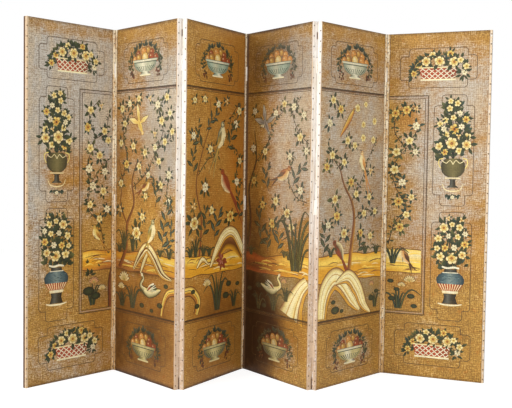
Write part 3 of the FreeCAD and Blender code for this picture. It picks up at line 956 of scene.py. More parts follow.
def blossom(p, u, v, size, kind, leafCount, leafTip="leafMid"):
    f = flowers[kind]
    start = p.draw.uniform(0, tau)
    if leafCount:
        leaves(p, u, v, leafCount, size * petalForm["leaf"], start, tip=leafTip)
    for k, (reach, foot, tip) in enumerate(f["rings"]):
        petals = []
        for i in range(f["petals"]):
            turn = start + tau * (i + 0.5 * k) / f["petals"]
            petals.append((turn, size * 0.5 * reach * p.draw.uniform(*petalForm["waver"])))
        for grow, inner, outer in ((petalForm["outline"], "brown", "brown"), (1.0, foot, tip)):
            group = []
            for turn, long in petals:
                wide = long * grow * f["wide"] * petalForm["wide"]
                flare = petalForm["flare"]
                group += p.dab(u, v, long * grow, wide, turn, inner, outer, flare=flare, segments=7)
            p.lay(group)
    p.lay(p.disc(u, v, size * petalForm["heart"], *f["heart"], segments=8))


# a frame line round a motif: a long rectangle crossed by a wide one, outer corners rounded
frameLine = {"width": 0.0038, "tone": "line", "corner": 0.022, "step": 0.022}


def cartouche(p, cu, cv, wide, narrow, tall, short):
    half = ((-narrow, tall), (narrow, tall), (narrow, short), (wide, short), (wide, -short), (narrow, -short))
    outline = half + tuple((-x, -y) for x, y in half)
    bm = bmesh.new()
    corners = [bm.verts.new((cu + x, cv + y, 0.0)) for x, y in outline]
    bm.faces.new(reversed(corners))
    rounded = [v for v, (x, y) in zip(corners, outline) if abs(x) == wide or abs(y) == tall]
    rounding = {"offset": frameLine["corner"], "segments": 5, "profile": 0.5, "material": -1}
    bmesh.ops.bevel(bm, geom=rounded, affect="VERTICES", **rounding)
    for side in bm.edges[:]:
        bmesh.ops.subdivide_edges(bm, edges=[side], cuts=int(side.calc_length() / frameLine["step"]))
    inside = bm.faces[:]
    width = frameLine["width"]
    bmesh.ops.inset_region(bm, faces=inside, thickness=width, use_boundary=True, use_even_offset=True)
    bmesh.ops.delete(bm, geom=inside, context="FACES")
    shade = bm.verts.layers.float_color.new("paint")
    for v in bm.verts:
        v[shade] = paints[frameLine["tone"]]
    bmesh.ops.recalc_face_normals(bm, faces=bm.faces)
    mesh = bpy.data.meshes.new("line")
    bm.to_mesh(mesh)
    bm.free()
    before = len(p.hand.verts)
    p.hand.from_mesh(mesh)
    p.hand.verts.ensure_lookup_table()
    bpy.data.meshes.remove(mesh)
    p.tone = p.hand.verts.layers.float_color["paint"]
    p.lay(p.hand.verts[before:])


# vessels are drawn up their middle: height, half width; shades run from left to right
def vessel(p, cu, foot, profile, shades):
    rows, columns = len(profile) - 1, len(shades) - 1
    verts = bmesh.ops.create_grid(p.hand, x_segments=columns, y_segments=rows, size=0.5)["verts"]
    for vert in verts:
        s = vert.co.x
        up, half = profile[round((vert.co.y + 0.5) * rows)]
        vert[p.tone] = paints[shades[round((s + 0.5) * columns)]]
        vert.co = (cu + 2 * s * half, foot + up, 0.0)
    p.lay(verts)


# a straight line across, for rims and feet
def rule(p, cu, v, half, width, tones, step=0.02):
    p.stroke(((cu - half, v), (cu + half, v)), [width], tones, step=step)


# a stroke through points counted from the foot of a vessel
def strokeFrom(p, cu, foot, points, widths, tones, side=1, step=0.014):
    p.stroke([(cu + side * du, foot + dv) for du, dv in points], widths, tones, step=step)


# flowers counted from the same place
def heap(p, cu, foot, blooms, leafCount, mirror=1):
    for du, dv, size, kind in blooms:
        blossom(p, cu + mirror * du, foot + dv, size, kind, leafCount)


# stripes that fan out up a vessel
def flutes(p, cu, low, high, halfLow, halfHigh, count, tone, width):
    group = []
    for i in range(count):
        s = (i + 0.5) / count * 2 - 1
        middle = (cu + s * (halfLow + halfHigh) / 2, (low + high) / 2)
        path = [(cu + s * halfLow, low), middle, (cu + s * halfHigh, high)]
        group += p.strip(path, [width * 0.7, width], [tone])
    p.lay(group)


# a lattice basket heaped with flowers
basket = {
    "arcs": ((0.145, 0.096, 13), (0.105, 0.070, 9), (0.060, 0.050, 5)),  # leaves: half width, height, count
    "arcFoot": 0.052,
    "profile": ((0.0, 0.100), (0.008, 0.101), (0.066, 0.114), (0.074, 0.116)),
    "behind": 5,  # flowers behind its rim
}
lattice = {
    "across": 6, "steps": 8, "lean": 2.2, "width": 0.0052,
    "foot": 0.100, "flare": 0.015, "low": 0.004, "tall": 0.066,
}
basketFlowers = (  # across, up, size, kind
    (-0.148, 0.040, 0.040, "gold"), (-0.118, 0.088, 0.040, "gold"), (-0.036, 0.152, 0.042, "star"),
    (0.072, 0.156, 0.042, "gold"), (-0.074, 0.112, 0.058, "rose"), (0.158, 0.042, 0.040, "pale"),
    (0.170, 0.078, 0.042, "star"), (0.008, 0.112, 0.066, "rose"), (0.096, 0.106, 0.062, "rose"),
    (0.134, 0.116, 0.040, "star"),
)


def flowerBasket(p, cu, foot):
    for wide, tall, count in basket["arcs"]:
        for i in range(count):
            turn = math.pi * (1 - i / (count - 1))
            u, v = cu + math.cos(turn) * wide, foot + basket["arcFoot"] + math.sin(turn) * tall
            leaves(p, u, v, 3, 0.050, turn - 1.0, 2.0, tip=greens[i % 4], off=0.05)
    for side in (-1, 1):
        leaves(p, cu + side * 0.150, foot + 0.030, 5, 0.050, tau / 4 + side * 0.6, tau * 0.6, off=0.2)
    heap(p, cu, foot, basketFlowers[:basket["behind"]], 5)
    vessel(p, cu, foot, basket["profile"], ("lattice", "lattice", "russet"))
    cane = []
    for i in range(-2, lattice["across"] + 2):
        for lean in (-1, 1):
            path = []
            for k in range(lattice["steps"] + 1):
                t = k / lattice["steps"]
                s = (i + 0.5 + lean * (t - 0.5) * lattice["lean"]) / lattice["across"]
                if 0.0 <= s <= 1.0:
                    half = lattice["foot"] + lattice["flare"] * t
                    path.append((cu + (2 * s - 1) * half, foot + lattice["low"] + lattice["tall"] * t))
            if len(path) > 1:
                cane += p.strip(path, [lattice["width"]], ["white"])
    p.lay(cane)
    rule(p, cu, foot + 0.074, 0.117, 0.007, ["cream"])
    rule(p, cu, foot, 0.106, 0.011, ["cream", "white"])
    heap(p, cu, foot, basketFlowers[basket["behind"]:], 5)


# a footed bowl of fruit, with leafy sprays and berries hanging at its sides
bowl = {
    "spread": 1.14, "sink": 0.013,  # of the fruit
    "spray": ((0.100, 0.138), (0.136, 0.116), (0.150, 0.074), (0.140, 0.034)),
    "berries": 9, "berrySize": 0.014, "berryPlace": (0.130, 0.006), "berryWaver": (0.020, 0.026),
    "stand": ((0.0, 0.054), (0.008, 0.050), (0.014, 0.036), (0.022, 0.040)),
    "profile": (
        (0.020, 0.050), (0.027, 0.072), (0.038, 0.092), (0.052, 0.105), (0.067, 0.112), (0.080, 0.116),
    ),
    "rimFoot": 0.080, "rim": ((0.0, 0.120), (0.011, 0.125)),
}
fruitSkins = {"apple": "russet", "peach": "orange", "cream": "amber", "amber": "barkLight"}
bowlFruit = (  # across, up, size, kind
    (-0.060, 0.138, 0.044, "apple"), (0.058, 0.140, 0.046, "apple"), (-0.014, 0.152, 0.048, "peach"),
    (0.026, 0.158, 0.042, "amber"), (-0.092, 0.106, 0.046, "peach"), (0.094, 0.108, 0.048, "apple"),
    (0.054, 0.114, 0.054, "apple"), (-0.056, 0.114, 0.056, "amber"), (-0.002, 0.116, 0.060, "cream"),
)
bowlLeaves = (  # across, up, turn
    (-0.084, 0.146, 2.3), (-0.048, 0.160, 2.0), (0.004, 0.168, 1.6), (0.046, 0.164, 1.2), (0.086, 0.144, 0.7),
)
glazes = {
    "pale": ("celadonDark", "celadon", "white", "celadon", "celadon", "celadonDark"),
    "green": ("skyDark", "sky", "celadon", "sky", "sky", "skyDark"),
    "warm": ("wareDark", "ware", "white", "ware", "ware", "wareDark"),
    "dull": ("slate", "wareDark", "ware", "ware", "wareDark", "slate"),
}


def fruitBowl(p, cu, foot, blush, glaze):
    glazed = glazes[glaze]
    rim = "ware" if glaze == "dull" else "white"
    for du, dv, turn in bowlLeaves:
        leaves(p, cu + du, foot + dv, 4, 0.054, turn - 1.1, 2.2, tip="leafBlue", off=0.05)
    for side in (-1, 1):
        spray = [(side * du, dv) for du, dv in bowl["spray"]]
        for k, (du, dv) in enumerate(flow(spray, 0.020)):
            tip = ("leafBlue", "leafMid", "leafOlive")[k % 3]
            leaves(p, cu + du, foot + dv, 3, 0.042, p.draw.uniform(0, tau), tau, tip=tip, off=0.05)
        (across, up), (waverU, waverV) = bowl["berryPlace"], bowl["berryWaver"]
        for k in range(bowl["berries"]):
            du, dv = p.draw.uniform(-waverU, waverU), p.draw.uniform(-waverV, waverV)
            tone = ("berry", "bark", "russet")[k % 3]
            p.lay(p.disc(cu + side * across + du, foot + up + dv, bowl["berrySize"], "umber", tone, 1.2, 7))
    for du, dv, size, tone in bowlFruit:
        u, v = cu + du * bowl["spread"], foot + (dv - bowl["sink"])
        tone = blush if tone == "apple" else tone
        skin = fruitSkins[tone]
        p.lay(p.disc(u, v, size * 1.08, "brown", skin, 1.05))
        p.lay(p.disc(u, v, size, skin, tone, 1.05))
        p.lay(p.disc(u - size * 0.14, v + size * 0.2, size * 0.3, tone, "cream", 1.0, 6))
    vessel(p, cu, foot, bowl["stand"], ("slate", glazed[1], rim, "slate"))
    vessel(p, cu, foot, bowl["profile"], glazed)
    flutes(p, cu, foot + 0.023, foot + 0.054, 0.054, 0.098, 9, "leafBlue", 0.006)
    vessel(p, cu, foot + bowl["rimFoot"], bowl["rim"], (glazed[1], rim, rim, glazed[1]))
    rule(p, cu, foot + 0.077, 0.114, 0.005, ["leafBlue"])
    rule(p, cu, foot + 0.092, 0.122, 0.003, ["celadonDark"])
    rule(p, cu, foot, 0.054, 0.009, [rim, "cream"])


# tall bouquets for the urn and the vase: across, up, size, kind
urnFlowers = (
    (-0.020, 0.330, 0.040, "star"), (0.022, 0.345, 0.036, "star"), (0.026, 0.300, 0.040, "star"),
    (-0.072, 0.232, 0.044, "gold"), (0.050, 0.228, 0.042, "star"), (0.082, 0.206, 0.040, "star"),
    (-0.004, 0.174, 0.066, "gold"), (-0.080, 0.128, 0.050, "star"), (-0.034, 0.270, 0.036, "pale"),
    (0.004, 0.244, 0.038, "star"), (-0.046, 0.190, 0.038, "pale"), (0.044, 0.142, 0.044, "star"),
    (-0.030, 0.132, 0.034, "bud"), (0.060, 0.176, 0.036, "pale"), (-0.034, 0.044, 0.046, "star"),
    (0.052, 0.034, 0.044, "gold"), (-0.078, 0.080, 0.060, "rose"), (0.086, 0.070, 0.050, "star"),
    (0.010, 0.088, 0.076, "rose"),
)
vaseFlowers = (
    (-0.050, 0.245, 0.046, "star"), (0.046, 0.240, 0.058, "rose"), (0.078, 0.172, 0.048, "star"),
    (-0.082, 0.142, 0.048, "gold"), (0.016, 0.190, 0.036, "pale"), (-0.006, 0.055, 0.072, "rose"),
    (0.064, 0.062, 0.054, "star"), (-0.060, 0.290, 0.034, "bud"), (0.020, 0.298, 0.034, "bud"),
    (-0.020, 0.120, 0.040, "pale"), (0.084, 0.112, 0.038, "star"), (-0.040, 0.188, 0.040, "star"),
    (0.036, 0.116, 0.044, "gold"), (-0.068, 0.076, 0.050, "rose"), (-0.004, 0.262, 0.036, "star"),
    (-0.084, 0.206, 0.036, "pale"),
)
bouquetLeaves = 64


def bouquet(p, cu, foot, blooms, mirror):
    top = max(dv for du, dv, size, kind in blooms)
    for du, dv, size, kind in blooms:
        stem = ((cu, foot - 0.01), (cu + mirror * du * 0.35, foot + dv * 0.5), (cu + mirror * du, foot + dv))
        p.stroke(stem, [0.005, 0.003], ["leafDark"])
    for i in range(bouquetLeaves):
        up = (i + 0.5) / bouquetLeaves
        reach = 0.098 * (1 - 0.55 * up) * p.draw.uniform(-1, 1)
        turn = tau / 4 - reach * 15 + p.draw.uniform(-0.5, 0.5)
        leaves(p, cu + reach, foot - 0.02 + up * top, 2, 0.066, turn - 0.5, 1.0, tip=greens[i % 4], off=0.0)
    heap(p, cu, foot, blooms, 6, mirror)


standShades = ("black", "slate", "oliveDark", "black")
urn = {
    "mouth": 0.200,
    "dish": ((-0.062, 0.040), (-0.045, 0.006), (0.0, -0.004), (0.045, 0.006), (0.062, 0.040)),
    "stand": ((0.018, 0.034), (0.024, 0.032), (0.032, 0.018), (0.062, 0.015), (0.070, 0.026)),
    "profile": (
        (0.082, 0.028), (0.092, 0.048), (0.112, 0.066), (0.140, 0.073), (0.168, 0.070), (0.190, 0.052),
        (0.196, 0.036),
    ),
    "handle": ((0.058, 0.196), (0.082, 0.190), (0.086, 0.160), (0.072, 0.136)),
    "collar": ((0.066, 0.182), (0.040, 0.166), (0.018, 0.186), (0.0, 0.160)),
}


def oliveUrn(p, cu, foot, mirror):
    bouquet(p, cu, foot + urn["mouth"], urnFlowers, mirror)
    strokeFrom(p, cu, foot, urn["dish"], [0.003, 0.007, 0.003], ["cream"])
    for i in range(5):
        u, v = cu + (i - 2) * 0.018, foot - 0.020 - 0.006 * (i % 2)
        leaves(p, u, v, 3, 0.038, -2.4, 1.8, tip="leafBlue", off=0.05)
    blossom(p, cu, foot - 0.040, 0.026, "pale", 3)
    vessel(p, cu, foot, urn["stand"], standShades)
    vessel(p, cu, foot, urn["profile"], ("oliveDark", "olive", "oliveLight", "olive", "oliveDark"))
    rule(p, cu, foot + 0.076, 0.046, 0.006, ["cream"], 0.03)
    for side in (-1, 1):
        strokeFrom(p, cu, foot, urn["handle"], [0.006, 0.005], ["yellow"], side)
        strokeFrom(p, cu, foot, urn["collar"], [0.004], ["cream"], side, 0.03)


vase = {
    "mouth": 0.235,
    "parts": (  # profiles and shades, from the foot up
        (((0.008, 0.050), (0.016, 0.044), (0.046, 0.034), (0.070, 0.040)), standShades),
        (((0.072, 0.046), (0.088, 0.050)), ("cream", "white", "cream")),
        (((0.088, 0.050), (0.110, 0.066), (0.132, 0.078)), ("apple", "lattice", "russet")),
    ),
    "body": ((0.130, 0.078), (0.146, 0.084), (0.164, 0.084), (0.184, 0.072), (0.200, 0.050)),
    "touches": 22,
    "neck": ((0.198, 0.040), (0.222, 0.036)),
    "rim": ((-0.052, 0.236), (-0.020, 0.228), (0.020, 0.234), (0.052, 0.228)),
    "base": ((-0.072, 0.008), (-0.030, 0.0), (0.030, 0.0), (0.072, 0.008)),
}


def tealVase(p, cu, foot, mirror):
    bouquet(p, cu, foot + vase["mouth"], vaseFlowers, mirror)
    for profile, shades in vase["parts"]:
        vessel(p, cu, foot, profile, shades)
    flutes(p, cu, foot + 0.090, foot + 0.130, 0.050, 0.076, 9, "cream", 0.0052)
    vessel(p, cu, foot, vase["body"], ("tealDark", "teal", "tealLight", "teal", "tealDark"))
    for i in range(vase["touches"]):
        side, up = p.draw.uniform(-0.060, 0.050), p.draw.uniform(0.136, 0.182)
        shade = ("tealDark", "tealLight", "teal")[i % 3]
        long, turn = p.draw.uniform(0.012, 0.026), p.draw.uniform(-0.3, 0.3)
        p.lay(p.dab(cu + side, foot + up, long, 0.005, turn, shade, "teal", point=0.6))
    vessel(p, cu, foot, vase["neck"], ("black", "slate", "black"))
    rule(p, cu, foot + 0.200, 0.048, 0.005, ["white"], 0.03)
    strokeFrom(p, cu, foot, vase["rim"], [0.010, 0.012, 0.010], ["white"])
    strokeFrom(p, cu, foot, vase["base"], [0.006, 0.011, 0.006], ["white", "cream"])


# garden: trees, rocks, birds and water plants
def tree(p, trunk, thick, tones=("umber", "russet", "barkLight"), tips=("umber", "bark", "bark")):
    p.stroke(trunk, [thick, thick * 0.6, thick * 0.22], list(tones), list(tips))


def twig(p, points):
    p.stroke(points, [0.006, 0.0035], ["umber"])
    path = flow(points, 0.045)
    for k, (u, v) in enumerate(path[1:]):
        tip = "leafOlive" if k % 2 else "leafMid"
        leaves(p, u, v, 2, 0.042, p.draw.uniform(0, tau), tau * 0.6, tip=tip, off=0.05)


# a stem with leaves in pairs
def frond(p, points, size, tip="leafBlue"):
    path = flow(points, size * 0.42)
    p.stroke(points, [0.005, 0.002], ["leafDark"])
    blades = []
    for k, (u, v) in enumerate(path[1:], 1):
        back = path[k - 1]
        way = math.atan2(v - back[1], u - back[0])
        long = size * (1 - 0.35 * k / len(path)) * p.draw.uniform(0.75, 1.15)
        side = 0 if k == len(path) - 1 else 1 - 2 * (k % 2)
        blades.append((u, v, long, way + side * p.draw.uniform(0.45, 1.0)))
    coats = ((1.0, 0.40, "leafDark", "leafDark"), (0.9, 0.20, tip, tip), (0.8, 0.05, "celadonDark", tip))
    for reach, wide, foot, end in coats:
        group = []
        for u, v, long, turn in blades:
            group += p.dab(u, v, long * reach, long * wide, turn, foot, end, point=0.75)
        p.lay(group)


# stones: an outline in columns, so that it follows the leather, then tones across and veins along
stones = {
    "rock": {
        "outline": 0.008, "outlineTones": ["bark"] * 13,
        "tones": ["barkLight", "rock", "ivory", "ivory", "rock", "ivory", "rockShade", "bank"],
        "veins": ((-0.20, "rockShade", 0.04), (0.12, "rockShade", 0.05), (0.30, "barkLight", 0.05)),
    },
    "ledge": {
        "outline": 0.009, "outlineTones": ["brown"] * 6,
        "tones": ["barkLight", "bankLight", "yellow", "bank", "orange", "bark"],
        "veins": ((-0.10, "bark", 0.07), (0.22, "bark", 0.07)),
    },
}


def stone(p, kind, points, widths):
    form = stones[kind]
    path = flow(points, 0.012)
    p.lay(p.strip(path, [w + form["outline"] for w in widths], form["outlineTones"]))
    p.lay(p.strip(path, widths, form["tones"]))
    for side, tone, thin in form["veins"]:
        p.lay(p.strip(path, [w * thin for w in widths], [tone], shift=[w * side for w in widths]))


# the river bank, with strokes of light and shade along it
bankForm = {
    "steps": 30, "bands": (2, 1, 1, 0, 1),  # which of three tones, from the foot up
    "crestWaver": 0.026, "footWaver": 0.010, "strokesPerMetre": 48,
}
bankTones = ("bankLight", "bank", "bank")
bankStrokes = (
    ("bark", 0.005), ("cream", 0.008), ("barkLight", 0.007), ("bankLight", 0.010), ("umber", 0.003),
    ("amber", 0.009),
)


def ridgeBank(p, low, high, left, right, start=bankTones, end=bankTones):
    top = []
    bands, steps = bankForm["bands"], bankForm["steps"]
    columns = len(bands) - 1
    verts = bmesh.ops.create_grid(p.hand, x_segments=columns, y_segments=steps, size=0.5)["verts"]
    for vert in verts:
        t, s = vert.co.y + 0.5, 0.5 - vert.co.x
        u = left + (right - left) * t
        up = high + bankForm["crestWaver"] * noise.noise(Vector((u * 7 + p.panel * 3, 1.7, 0.0)))
        down = low + bankForm["footWaver"] * noise.noise(Vector((u * 9 + p.panel, 8.1, 0.0)))
        band = bands[round(s * columns)]
        vert[p.tone] = between(paints[start[band]], paints[end[band]], ease(0.2, 0.85, t))
        vert.co = (u, down + (up - down) * s, 0.0)
        if s > 0.99:
            top.append((u, up))
        if s < 0.01:
            top.append((u, down))
    p.lay(verts)
    for edge, width in ((top[0::2], 0.005), (top[1::2], 0.0045)):
        p.lay(p.strip(edge, [width], ["brown"], ["bark"]))
    for i in range(int((right - left) * bankForm["strokesPerMetre"])):
        u = p.draw.uniform(left, right - 0.05)
        v = p.draw.uniform(low + 0.012, high - 0.03)
        long = min(p.draw.uniform(0.05, 0.22), right - u)
        tone, wide = bankStrokes[i % len(bankStrokes)]
        rise = p.draw.uniform(-0.010, 0.012)
        path = ((u, v), (u + long / 2, v + 0.006 + rise), (u + long, v + rise))
        p.stroke(path, [0.002, wide, 0.002], [tone], step=0.012)


def iris(p, u, v, height, count, spread):
    wide = 0.005 + 0.020 * height
    for i in range(count):
        lean = (2 * i / (count - 1) - 1) * spread + p.draw.uniform(-0.12, 0.12)
        tall = height * p.draw.uniform(0.68, 1.0)
        root = u + lean * height * 0.12
        bent = p.draw.uniform(0.5, 1.0) * abs(lean)
        blade = (
            (root, v), (root + lean * tall * 0.22, v + tall * 0.58),
            (root + lean * tall * 0.58, v + tall * (0.94 - 0.20 * bent)),
            (root + lean * tall * 1.05, v + tall * (1.0 - 0.75 * bent)),
        )
        shade = ("leafBlue", "leafMid", "leafOlive")[i % 3]
        p.stroke(blade, [wide * 1.3, wide * 1.7, wide * 1.3, 0.002], ["leafDark"])
        p.stroke(blade, [wide * 0.5, wide * 0.8, wide * 0.6, 0.001], [shade], ["leafMid"])


def tufts(p, places, level):
    for u in places:
        iris(p, u, level + p.draw.uniform(-0.012, 0.004), p.draw.uniform(0.050, 0.085), 6, 0.95)


def pads(p, *places):
    for u, v, size in places:
        p.lay(p.disc(u, v, size, "leafDark", "leafMid", 0.62, 9))


def waterLily(p, u, v, size, tone="cream"):
    for grow, foot, tip in ((1.14, "umber", "umber"), (1.0, "amber", tone)):
        group = []
        for i in range(7):
            turn = tau * (0.06 + 0.38 * i / 6)
            group += p.dab(u, v, size * 0.55 * grow, size * 0.19 * grow, turn, foot, tip, point=0.7)
        p.lay(group)
    p.lay(p.dab(u, v, size * 0.26, size * 0.14, tau / 4, "leafMid", "yellow", point=0.5))


# birds face right, or left with mirror -1
def bird(p, u, v, size, back, breast, tail, mirror, lift, tailLong):
    def at(x, y):
        c, s = math.cos(lift), math.sin(lift)
        return (u + mirror * size * (x * c - y * s), v + size * (x * s + y * c))

    for bend in (-0.06, 0.05):
        feather = (at(-0.30, 0.02), at(-0.30 - tailLong * 0.5, bend), at(-0.30 - tailLong, bend * 3))
        p.stroke(feather, [0.11 * size, 0.09 * size, 0.02 * size], [tail, back])
    body = (at(-0.42, 0.0), at(-0.15, -0.02), at(0.15, 0.0), at(0.42, 0.08))
    p.stroke(body, [0.08 * size, 0.42 * size, 0.48 * size, 0.14 * size], [back, breast, "cream"][::mirror])
    hu, hv = at(0.46, 0.10)
    p.lay(p.disc(hu, hv, size * 0.24, back, breast, 1.0, 8))
    turn = lift if mirror > 0 else math.pi - lift
    wu, wv = at(0.22, 0.06)
    p.lay(p.dab(wu, wv, size * 0.62, size * 0.20, turn + math.pi, back, tail, point=0.75))
    bu, bv = at(0.55, 0.10)
    p.lay(p.dab(bu, bv, size * 0.16, size * 0.07, turn - mirror * 0.5, "umber", "black", point=0.6))
    p.lay(p.disc(hu + mirror * size * 0.03, hv + size * 0.03, size * 0.05, "black", "black", 1.0, 6))
    for leg in (-0.02, 0.06):
        lu, lv = at(leg, -0.16)
        p.stroke(((lu, lv), (lu, lv - size * 0.22)), [0.0025], ["umber"], step=0.03)


def flyingBird(p, u, v, size, dim="amber", mid="yellow", light="cream"):
    for turn, long, wide in ((2.85, 0.75, 0.24), (1.75, 0.80, 0.22), (0.45, 0.70, 0.20)):
        p.lay(p.dab(u, v, size * long * 1.05, size * wide * 1.25, turn, "bark", "bark", point=0.7))
        p.lay(p.dab(u, v, size * long, size * wide, turn, dim, light, mid, point=0.7))
        p.lay(p.dab(u, v, size * long * 0.9, size * wide * 0.2, turn + 0.06, dim, mid, point=0.7))
    body = ((u - 0.06 * size, v + 0.16 * size), (u, v), (u + 0.20 * size, v - 0.34 * size))
    p.stroke(body, [0.10 * size, 0.24 * size, 0.08 * size], [mid, dim, mid])
    p.lay(p.disc(u + 0.22 * size, v - 0.38 * size, size * 0.17, dim, light, 1.0, 8))


swanWing = (  # tones, turn, length
    ("cream", "white", 0.62, 0.58), ("leafMid", "leafDark", 0.42, 0.62),
    ("leafOlive", "leafMid", 0.20, 0.64), ("apple", "russet", 0.30, 0.26),
)


def swan(p, u, v, size, mirror):
    def at(x, y):
        return (u + mirror * size * x, v + size * y)

    def back(turn):
        return math.pi - turn if mirror > 0 else turn

    for grow, shades in ((0.06, ["umber"]), (0.0, ["yellow", "cream", "leafOlive"][::mirror])):
        body = [(w + grow) * size for w in (0.02, 0.24, 0.34, 0.14)]
        p.stroke((at(-0.66, 0.12), at(-0.34, 0.0), at(0.10, -0.06), at(0.40, 0.06)), body, shades)
        neck = [(w + grow) * size for w in (0.16, 0.10, 0.08)]
        bend = (at(0.32, 0.02), at(0.54, 0.14), at(0.48, 0.30), at(0.38, 0.42), at(0.46, 0.54))
        p.stroke(bend, neck, shades[:2])
    for k, (foot, tone, turn, long) in enumerate(swanWing):
        wu, wv = at(0.20 - 0.03 * k, -0.02 + 0.02 * k)
        p.lay(p.dab(wu, wv, size * long, size * 0.18, back(turn), foot, tone, point=0.6))
    for turn in (0.12, 0.36, 0.52):
        wu, wv = at(0.10, 0.0)
        p.lay(p.dab(wu, wv, size * 0.56, size * 0.04, back(turn), "cream", "white", point=0.6))
    hu, hv = at(0.48, 0.55)
    p.lay(p.disc(hu, hv, size * 0.14, "cream", "white", 1.0, 8))
    p.lay(p.dab(hu, hv - 0.02 * size, size * 0.20, size * 0.06, back(math.pi), "orange", "russet", point=0.5))


# bands and frame lines that part the squares from the garden
mould = {
    "upper": 1.745, "lower": 0.388,
    "lines": ((0.008, 0.009, "umber"), (0.0, 0.004, "bark"), (-0.008, 0.004, "line")),  # offset, width, tone
    "frameLines": ((0.0, 0.006, "line"), (0.018, 0.004, "line"), (0.009, 0.003, "lilac")),
}


def bandLine(p, start, end, width, tone):
    middle = ((start[0] + end[0]) / 2, (start[1] + end[1]) / 2)
    p.stroke((start, middle, end), [width], [tone], step=0.02)


def moulding(p, v):
    for offset, width, tone in mould["lines"]:
        bandLine(p, (coat["left"], v + offset), (coat["right"], v + offset), width, tone)


# three sides of a frame round the garden's strip on an end panel
def stripFrame(p, edge, inward, far):
    for gap, width, tone in mould["frameLines"]:
        side = edge + inward * gap
        low, high = mould["lower"] + gap, mould["upper"] - gap
        bandLine(p, (far, high), (side, high), width, tone)
        bandLine(p, (side, high), (side, low), width, tone)
        bandLine(p, (side, low), (far, low), width, tone)


# ornament that repeats: frame lines by height and half sizes, and the heights of the vessels' feet
centre = panelWidth / 2
endOrnament = {
    "squares": ((1.914, 0.235, 0.180, 0.122, 0.075), (0.205, 0.235, 0.175, 0.130, 0.082)),
    "columns": ((1.410, 0.123, 0.077, 0.340, 0.275), (0.700, 0.123, 0.077, 0.335, 0.272)),
    "baskets": (1.842, 0.130),
    "urn": 1.166,
    "vase": 0.462,
}
middleOrnament = {
    "squares": ((1.912, 0.225, 0.185, 0.124, 0.092), (0.205, 0.225, 0.185, 0.126, 0.092)),
    "bowls": (1.832, 0.116),
    "greenTop": (3, 4),  # panels whose upper bowl is green, and whose lower bowl is dull
    "dullLow": (2, 3, 4),
}


def endPanel(p, axis, mirror):
    for line in endOrnament["squares"]:
        cartouche(p, centre, *line)
    for line in endOrnament["columns"]:
        cartouche(p, axis, *line)
    for foot in endOrnament["baskets"]:
        flowerBasket(p, centre, foot)
    oliveUrn(p, axis, endOrnament["urn"], mirror)
    tealVase(p, axis, endOrnament["vase"], mirror)


def squares(p, blushTop, blushLow):
    for line in middleOrnament["squares"]:
        cartouche(p, centre, *line)
    top, low = middleOrnament["bowls"]
    fruitBowl(p, centre, top, blushTop, "green" if p.panel in middleOrnament["greenTop"] else "pale")
    fruitBowl(p, centre, low, blushLow, "dull" if p.panel in middleOrnament["dullLow"] else "warm")
    moulding(p, mould["upper"])
    moulding(p, mould["lower"])


def scatter(p, *blooms):
    for u, v, size, kind in blooms:
        count = p.draw.choice((5, 6, 7)) * (kind != "bare")
        blossom(p, u, v, size, kind, count, p.draw.choice(("leafMid", "leafMid", "leafOlive", "leafBlue")))


def paintPanel1(p):
    stripFrame(p, 0.370, 1, coat["right"])
    ridgeBank(
        p, 0.645, 0.772, 0.396, coat["right"], ("bankLight", "bank", "orange"),
        ("bank", "orange", "barkLight"),
    )
    tree(p, ((0.612, 0.410), (0.600, 0.560), (0.616, 0.660)), 0.046)
    twig(p, ((0.560, 0.775), (0.520, 0.930), (0.440, 1.020), (0.450, 1.160), (0.540, 1.290), (0.600, 1.330)))
    twig(p, ((0.450, 1.160), (0.430, 1.300), (0.480, 1.450), (0.440, 1.600), (0.520, 1.690)))
    twig(p, ((0.480, 1.450), (0.560, 1.500), (0.590, 1.610)))
    scatter(
        p, (0.450, 1.625, 0.052, "star"), (0.430, 1.520, 0.054, "gold"), (0.556, 1.500, 0.050, "star"),
        (0.530, 1.655, 0.036, "bud"), (0.585, 1.445, 0.048, "star"), (0.448, 1.395, 0.056, "star"),
        (0.520, 1.350, 0.052, "rose"), (0.440, 1.270, 0.056, "pale"), (0.560, 1.250, 0.050, "pale"),
        (0.470, 1.165, 0.052, "pale"), (0.548, 1.130, 0.054, "star"), (0.450, 1.050, 0.048, "star"),
        (0.580, 1.020, 0.048, "pale"), (0.520, 0.960, 0.046, "star"),
    )
    bird(p, 0.500, 0.865, 0.100, "amber", "yellow", "russet", -1, 0.95, 1.2)
    for u, v in ((0.430, 0.690), (0.520, 0.664), (0.590, 0.742)):
        leaves(p, u, v, 3, 0.034, 0.6, 1.9, foot="umber", tip="leafOlive", off=0.0)
    iris(p, 0.470, 0.430, 0.150, 5, 0.7)
    pads(p, (0.440, 0.520, 0.090), (0.494, 0.486, 0.076))
    waterLily(p, 0.480, 0.566, 0.074, "rose")
    waterLily(p, 0.542, 0.520, 0.060)
    leaves(p, 0.450, 0.616, 6, 0.064, 0.0, 3.2, tip="leafMid", off=0.1)
    endPanel(p, 0.207, 1)


